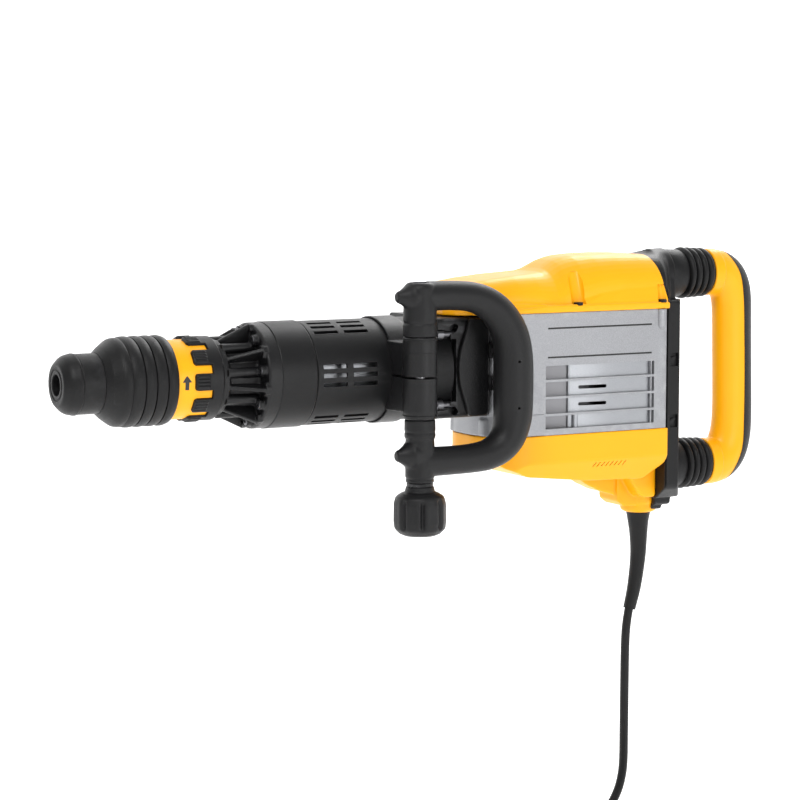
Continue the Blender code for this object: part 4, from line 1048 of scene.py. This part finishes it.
def make_clamp_ring():
    shapes = [revolve([(-0.05, 0.0497), (-0.05, 0.0512), (-0.026, 0.0512), (-0.026, 0.0497)], 160)]
    web = rounded([(-0.05, -0.0745, 0), (-0.026, -0.0745, 0), (-0.024, -0.048, 0.004), (-0.024, -0.036, 0),
                   (-0.052, -0.036, 0), (-0.052, -0.048, 0.004)], 5)
    shapes.append(prism(web, -0.0345, 0.0305, "Z"))
    post = rounded([(-0.0405, 0.0, 0), (-0.0405, 0.0152, 0.0005), (-0.033, 0.016, 0.002),
                    (0.03, 0.0161, 0.002),
                    (0.0362, 0.0158, 0.0005), (0.0362, 0.0, 0)], 4)
    shapes.append(revolve(post, 96, AXIS_UP, (*SHAFT, 0)))
    cuts = [bar((-0.1, 0, 0), (0.05, 0, 0), 0.0496, 160), block((-0.08, -0.1, -0.0022), (0.0, -0.04, 0.0)),
            bar((*SHAFT, -0.06), (*SHAFT, 0.06), 0.0055, 32)]
    teeth = []
    for index in range(16):
        angle = math.radians(22.5 * index)
        for z, sign in ((0.0362, 1), (-0.0405, -1)):
            radial = Vector((math.cos(angle), math.sin(angle), 0))
            base = Vector((*SHAFT, z + sign * 0.0008))
            teeth.append(bar(base + radial * 0.012, base + radial * 0.0175, 0.0013, 8))
    cuts.append(merged(teeth))
    fused("split_clamp_ring", shapes, CASTING, "clamp_ring", ["clamp_ring"], voxel=0.0007,
          rounds=4, cuts=cuts, crease=45)
    sleeve = []
    for z in (0.033, 0.0215, -0.037):
        sleeve.append(revolve(rounded([(z - 0.0005, 0.0145, 0), (z - 0.0005, 0.0163, 0.0003),
                                       (z + 0.0005, 0.0163, 0.0003),
                                       (z + 0.0005, 0.0145, 0)], 2), 96, AXIS_UP, (*SHAFT, 0)))
    crisp("clamp_ear_bands", merged(sleeve), BLACK, "clamp_ring")


def grip_line():
    """Centre line of the D grip with its half height and half width."""
    x = SHAFT[0]
    return [
        (x, 0.0735, 0.014, 0.0146), (-0.02, 0.0738, 0.0138, 0.0145), (-0.003, 0.0735, 0.0138, 0.0147),
        (0.016, 0.0718, 0.0141, 0.015), (0.032, 0.0663, 0.015, 0.0155), (0.0453, 0.0568, 0.016, 0.0162),
        (0.0556, 0.0435, 0.0172, 0.0168), (0.0612, 0.029, 0.0184, 0.0174), (0.0634, 0.012, 0.0194, 0.0177),
        (0.0637, -0.006, 0.0197, 0.0178), (0.0636, -0.0265, 0.0196, 0.0177),
        (0.0631, -0.0445, 0.0188, 0.0174),
        (0.059, -0.06, 0.0172, 0.0168), (0.05, -0.0712, 0.0158, 0.0162), (0.036, -0.0782, 0.0146, 0.0154),
        (0.018, -0.0806, 0.0138, 0.0148), (-0.003, -0.0812, 0.0136, 0.0145),
        (-0.02, -0.0812, 0.0138, 0.0145),
        (x, -0.0812, 0.014, 0.0146)]


def make_side_grip():
    line = grip_line()
    points = refine([(x, SHAFT[1], z) for x, z, high, wide in line], 5)
    sections = refine([(high, wide) for x, z, high, wide in line], 5)
    shapes = [sweep(points, sections, 40)]
    upper = rounded([(0.0365, 0.0, 0), (0.0365, 0.0158, 0.0004), (0.048, 0.0158, 0.0004),
                     (0.0485, 0.015, 0.0003),
                     (0.05, 0.015, 0.0003), (0.0505, 0.0157, 0.0004), (0.062, 0.0156, 0.004),
                     (0.087, 0.0142, 0.01),
                     (0.087, 0.0, 0)], 6)
    lower = rounded([(-0.0408, 0.0, 0), (-0.0408, 0.0144, 0.0004), (-0.0515, 0.0146, 0.0004),
                     (-0.052, 0.0139, 0.0003),
                     (-0.053, 0.0139, 0.0003), (-0.0535, 0.0146, 0.0003), (-0.0575, 0.0146, 0.0004),
                     (-0.058, 0.0137, 0.0003), (-0.059, 0.0134, 0.0003), (-0.066, 0.0138, 0.004),
                     (-0.095, 0.0138, 0.003),
                     (-0.0955, 0.0128, 0.0004), (-0.0968, 0.0128, 0.0004), (-0.0973, 0.0134, 0.0004),
                     (-0.1, 0.0132, 0.0005), (-0.1, 0.0, 0)], 4)
    for profile in (upper, lower):
        shapes.append(revolve(profile, 96, AXIS_UP, (*SHAFT, 0)))
    for z, reach, wide in ((0.0735, -0.025, 0.0138), (-0.074, -0.0255, 0.014)):      # horn opposite the arm
        tip = SHAFT[0] + reach
        horn = rounded([(tip, 0.0, 0), (tip, 0.0046, 0.0022), (tip + 0.005, 0.0068, 0.006),
                        (tip + 0.0095, 0.0098, 0.006),
                        (tip + 0.014, wide, 0.004), (SHAFT[0], wide, 0), (SHAFT[0], 0.0, 0)], 5)
        shapes.append(revolve(horn, 40, AXIS_BARREL, (0, SHAFT[1], z)))
    cuts = [bar((*SHAFT, -0.12), (*SHAFT, 0.07), 0.0055, 32),
            bar((*SHAFT, 0.069), (*SHAFT, 0.098), 0.0092, 6)]
    for z in (0.01, -0.034):
        cuts.append(bar((0.06, -0.11, z), (0.06, -0.085, z), 0.0013, 20))
    fused("side_d_grip", shapes, GRIP, "side_grip", ["side_grip"], voxel=0.0007,
          rounds=8, cuts=cuts,
          crease=45)
    bolt_low, bolt_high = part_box("clamp_bolt")
    bolt = [bar((*SHAFT, bolt_low.z), (*SHAFT, 0.072), 0.005, 32),
            bar((*SHAFT, 0.07), (*SHAFT, bolt_high.z), 0.0086, 6)]
    crisp("side_grip_bolt", merged(bolt), STEEL, "side_grip", ["clamp_bolt"], edge=0.0004,
          segments=2)


def make_knob():
    low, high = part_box("clamp_knob")
    flutes = 8

    def fluted(station, angle, radius):
        if radius < 0.0165:
            return radius
        height = (station - low.z) / (high.z - low.z)
        inside = smooth_step((height - 0.1) / 0.16) * smooth_step((0.8 - height) / 0.14)
        turn = (angle * flutes / (2 * math.pi)) % 1.0
        dip = math.exp(-((turn - 0.5) / 0.11) ** 2)
        ribs = 0.5 + 0.5 * math.cos(2 * math.pi * (turn * 2))
        return radius - inside * (0.0028 * dip + 0.0004 * ribs)

    z0, z1 = low.z, high.z
    profile = rounded([(z0, 0.0, 0), (z0, 0.015, 0.003), (z0 + 0.002, 0.0195, 0.003),
                       (z0 + 0.0065, 0.024, 0.005),
                       (z0 + 0.013, 0.0248, 0.01), (z0 + 0.03, 0.0246, 0.01), (z1 - 0.0095, 0.0228, 0.005),
                       (z1 - 0.0062, 0.0178, 0.004), (z1 - 0.0048, 0.0142, 0.002),
                       (z1 - 0.0005, 0.0132, 0.0008),
                       (z1, 0.0125, 0.0004), (z1, 0.0055, 0), (-0.126, 0.0055, 0), (-0.126, 0.0, 0)], 6)
    dense = []
    for (a, b), (c, d) in zip(profile, profile[1:]):
        parts = max(1, int(math.hypot(c - a, d - b) / 0.0012)) if b > 0.015 and d > 0.015 else 1
        dense += [(a + (c - a) * s / parts, b + (d - b) * s / parts) for s in range(parts)]
    dense.append(profile[-1])
    crisp("fluted_clamp_knob", revolve(dense, 240, AXIS_UP, (*SHAFT, 0), wave=fluted), GRIP, "knob",
          ["clamp_knob"], crease=50)


# ---- lead --------------------------------------------------------------------------------------
LEAD_DIAMETER = 0.009
RELIEF_POINTS = (
    (0.262, -0.159, 0.0125), (0.262, -0.168, 0.0108), (0.2625, -0.183, 0.0091),
    (0.2622, -0.2055, 0.0079), (0.2582, -0.235, 0.0071), (0.2522, -0.259, 0.0063))
LEAD_POINTS = (
    (0.2516, 0.0, -0.26), (0.2494, 0.0, -0.272), (0.248, 0.0, -0.286),
    (0.2474, 0.0, -0.306), (0.2472, 0.0, -0.33), (0.2471, 0.0, -0.36),
    (0.247, 0.0, -0.39), (0.2468, 0.0, -0.415), (0.245, 0.0, -0.432),
    (0.24, 0.0, -0.448), (0.231, 0.0, -0.462), (0.219, 0.0, -0.471),
    (0.206, 0.0, -0.4742), (0.196, 0.0, -0.4742))


def coil_points():
    """Turns of the wound lead, from where it lands on the coil to where it rises to the plug.

    Each stretch says between which angles the radius or the height changes; in between they hold.
    """
    coil_low, coil_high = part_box("cord_coil")
    centre = (coil_low + coil_high) / 2
    pitch = LEAD_DIAMETER
    floor_row = coil_low.z + pitch / 2
    rows = [floor_row + pitch * row for row in range(4)]
    landing = LEAD_POINTS[-1][2]
    columns = (0.041, 0.05, 0.059, 0.0685)
    radius_moves = [(95, 190, columns[3]), (400, 480, columns[2]), (760, 840, columns[1]),
                    (1120, 1200, columns[0]), (1700, 1780, columns[1]), (2060, 2140, columns[2]),
                    (2640, 2720, columns[1]), (3000, 3080, columns[0]), (3580, 3660, columns[1]),
                    (3940, 4020, columns[2]), (4140, 4212, 0.0492)]
    height_moves = [(165, 395, rows[0]), (1420, 1480, rows[1]), (2360, 2420, rows[2]),
                    (3300, 3360, rows[3]),
                    (4120, 4212, landing + 0.006)]
    points = []
    for angle in range(95, 4206, 15):
        radius, height = columns[1], landing
        for start, end, target in radius_moves:
            radius += (target - radius) * smooth_step((angle - start) / (end - start))
        for start, end, target in height_moves:
            height += (target - height) * smooth_step((angle - start) / (end - start))
        turn = math.radians(angle)
        points.append((centre.x + radius * math.cos(turn), centre.y + radius * math.sin(turn), height))
    return points


def make_lead():
    relief = [(x, 0.0, z) for x, z, radius in RELIEF_POINTS]
    sizes = [(radius, radius) for x, z, radius in RELIEF_POINTS]
    taper = to_object("tapered_strain_relief", sweep(refine(relief, 6), refine(sizes, 6), 40))
    dress(taper, RUBBER, "housing", ["strain_relief"], crease=50)

    plug_low, plug_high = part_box("plug")
    entry = Vector((plug_low.x, (plug_low.y + plug_high.y) / 2, (plug_low.z + plug_high.z) / 2))
    path = [(0.253, 0.0, -0.255)] + refine(LEAD_POINTS, 3)[:-1] + coil_points()
    path += [(entry.x - 0.001, entry.y, entry.z), (entry.x + 0.006, entry.y, entry.z)]
    curve = bpy.data.curves.new("mains_lead", "CURVE")
    curve.dimensions = "3D"
    curve.bevel_depth = LEAD_DIAMETER / 2
    curve.bevel_resolution = 4
    curve.use_fill_caps = True
    spline = curve.splines.new("POLY")
    spline.points.add(len(path) - 1)
    for point, place in zip(spline.points, path):
        point.co = (*place, 1.0)
    spline.use_smooth = True
    lead = bpy.data.objects.new("mains_lead", curve)
    bpy.context.scene.collection.objects.link(lead)
    curve.materials.append(RUBBER)
    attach(lead, "housing")
    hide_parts("cord", "cord_coil")

    y = entry.y
    body = rounded([(plug_low.x, y - 0.006, 0.004), (0.205, y - 0.0165, 0.012), (0.24, y - 0.0165, 0.005),
                    (0.24, y + 0.0165, 0.005), (0.205, y + 0.0165, 0.012),
                    (plug_low.x, y + 0.006, 0.004)], 8)
    grooves = []
    for index in range(5):
        x = 0.21 + 0.0048 * index
        for side in (-1, 1):
            grooves.append(bar((x, y + side * 0.0172, plug_low.z + 0.004),
                               (x, y + side * 0.0172, plug_high.z - 0.004),
                               0.0012, 12))
    plug = crisp("mains_plug", prism(body, plug_low.z, plug_high.z, "Z"), RUBBER, "housing",
                 ["plug"],
                 cuts=grooves, edge=0.0025, segments=4)
    pins = []
    for side in (-1, 1):
        pin = rounded([(0.239, 0.0, 0), (0.239, 0.0024, 0), (plug_high.x - 0.001, 0.0024, 0.001),
                       (plug_high.x, 0.0012, 0.0006), (plug_high.x, 0.0, 0)], 3)
        pins.append(revolve(pin, 24, AXIS_BARREL, (0, y + side * 0.0095, entry.z)))
    pin_piece = crisp("plug_pins", merged(pins), STEEL, "housing")


# ---- inner parts keep their CAD shape ----------------------------------------------------------
def finish_inner_parts():
    surfaces = {
        DARK_STEEL: ["tool_holder", "locking_roller_upper", "locking_roller_lower", "beat_piece", "ram",
                     "crank_gear",
                     "intermediate_gear", "armature_shaft"],
        STEEL: ["locking_spring", "wrist_pin", "motor_bearing_upper", "motor_bearing_lower"],
        SHROUD: ["cylinder_tube", "piston", "connecting_rod"],
        LAMINATED: ["armature_core", "stator"],
        COPPER: ["commutator"],
        CARBON: ["carbon_brush_left", "carbon_brush_right"],
        BLACK: ["cooling_fan", "knob_washer"],
    }
    for surface, nodes in surfaces.items():
        for name in nodes:
            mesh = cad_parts[name].data
            mesh.materials.clear()
            mesh.materials.append(surface)


# ---- studio ------------------------------------------------------------------------------------
CAMERA_PLACE = (-1.16574, -2.07427, 0.21829)
CAMERA_AZIMUTH = -29.0
CAMERA_ELEVATION = 6.0
CAMERA_LENS = 111.6


def make_camera():
    camera = bpy.data.cameras.new("camera")
    camera.lens = CAMERA_LENS
    camera.sensor_width = 36.0
    camera.clip_end = 100.0
    thing = bpy.data.objects.new("camera", camera)
    bpy.context.scene.collection.objects.link(thing)
    azimuth, elevation = math.radians(CAMERA_AZIMUTH), math.radians(CAMERA_ELEVATION)
    back = Vector((math.sin(azimuth) * math.cos(elevation), -math.cos(azimuth) * math.cos(elevation),
                   math.sin(elevation)))
    thing.location = CAMERA_PLACE
    thing.rotation_euler = (-back).to_track_quat("-Z", "Y").to_euler()
    bpy.context.scene.camera = thing


def add_light(name, place, target, size, power, colour=(1, 1, 1)):
    light = bpy.data.lights.new(name, "AREA")
    light.shape = "RECTANGLE"
    light.size, light.size_y = size
    light.energy = power
    light.color = colour
    thing = bpy.data.objects.new(name, light)
    bpy.context.scene.collection.objects.link(thing)
    thing.location = place
    thing.rotation_euler = (Vector(target) - Vector(place)).to_track_quat("-Z", "Y").to_euler()


def glowing(name, strength, roughness):
    """A pale surface with some light of its own, so that the ground stays white."""
    made = bpy.data.materials.new(name)
    made.use_nodes = True
    inputs = made.node_tree.nodes["Principled BSDF"].inputs
    inputs["Base Color"].default_value = (0.8, 0.8, 0.8, 1)
    inputs["Roughness"].default_value = roughness
    inputs["Emission Color"].default_value = (1, 1, 1, 1)
    inputs["Emission Strength"].default_value = strength
    return made


def backdrop(name, place, surface):
    """A large flat square that is there for the picture only."""
    bm = bmesh.new()
    bmesh.ops.create_grid(bm, x_segments=2, y_segments=2, size=40.0)
    square = to_object(name, bm)
    square.location = place
    square.data.materials.append(surface)
    return square


def make_studio():
    floor_z = CAD_BOUNDS[0][2] - 0.0002
    backdrop("studio_floor", (0, 0, floor_z), glowing("pale_floor", 0.62, 0.9))
    behind = 9
    wall = backdrop("studio_wall", (0.5 * behind, 0.87 * behind, floor_z),
                    glowing("white_wall", 0.9, 0.5))
    wall.rotation_euler = (math.radians(90), 0, math.radians(CAMERA_AZIMUTH))
    world = bpy.data.worlds.new("studio")
    world.use_nodes = True
    sky = world.node_tree.nodes["Background"].inputs
    sky["Color"].default_value = (1, 1, 1, 1)
    sky["Strength"].default_value = 0.55
    bpy.context.scene.world = world
    bpy.context.scene.view_settings.view_transform = "Standard"
    add_light("key", (-1.2, -1.5, 1.9), (0, 0, 0), (0.9, 0.7), 34)
    add_light("front_fill", (0.7, -2.4, 0.3), (0.15, 0, 0), (0.9, 0.9), 12)
    add_light("rim", (1.4, 1.2, 1.5), (0.2, 0, 0), (0.8, 0.8), 14)


def main():
    make_camera()
    make_lead()
    make_studio()
    make_nose()
    make_locking_sleeve()
    make_index_ring()
    make_front_housing()
    make_front_screws()
    make_barrel()
    make_gear_housing()
    make_motor_housing()
    make_top_cover()
    make_lower_housing()
    make_rear_cover()
    make_rear_handle()
    make_boots()
    make_clamp_ring()
    make_side_grip()
    make_knob()
    finish_inner_parts()


main()
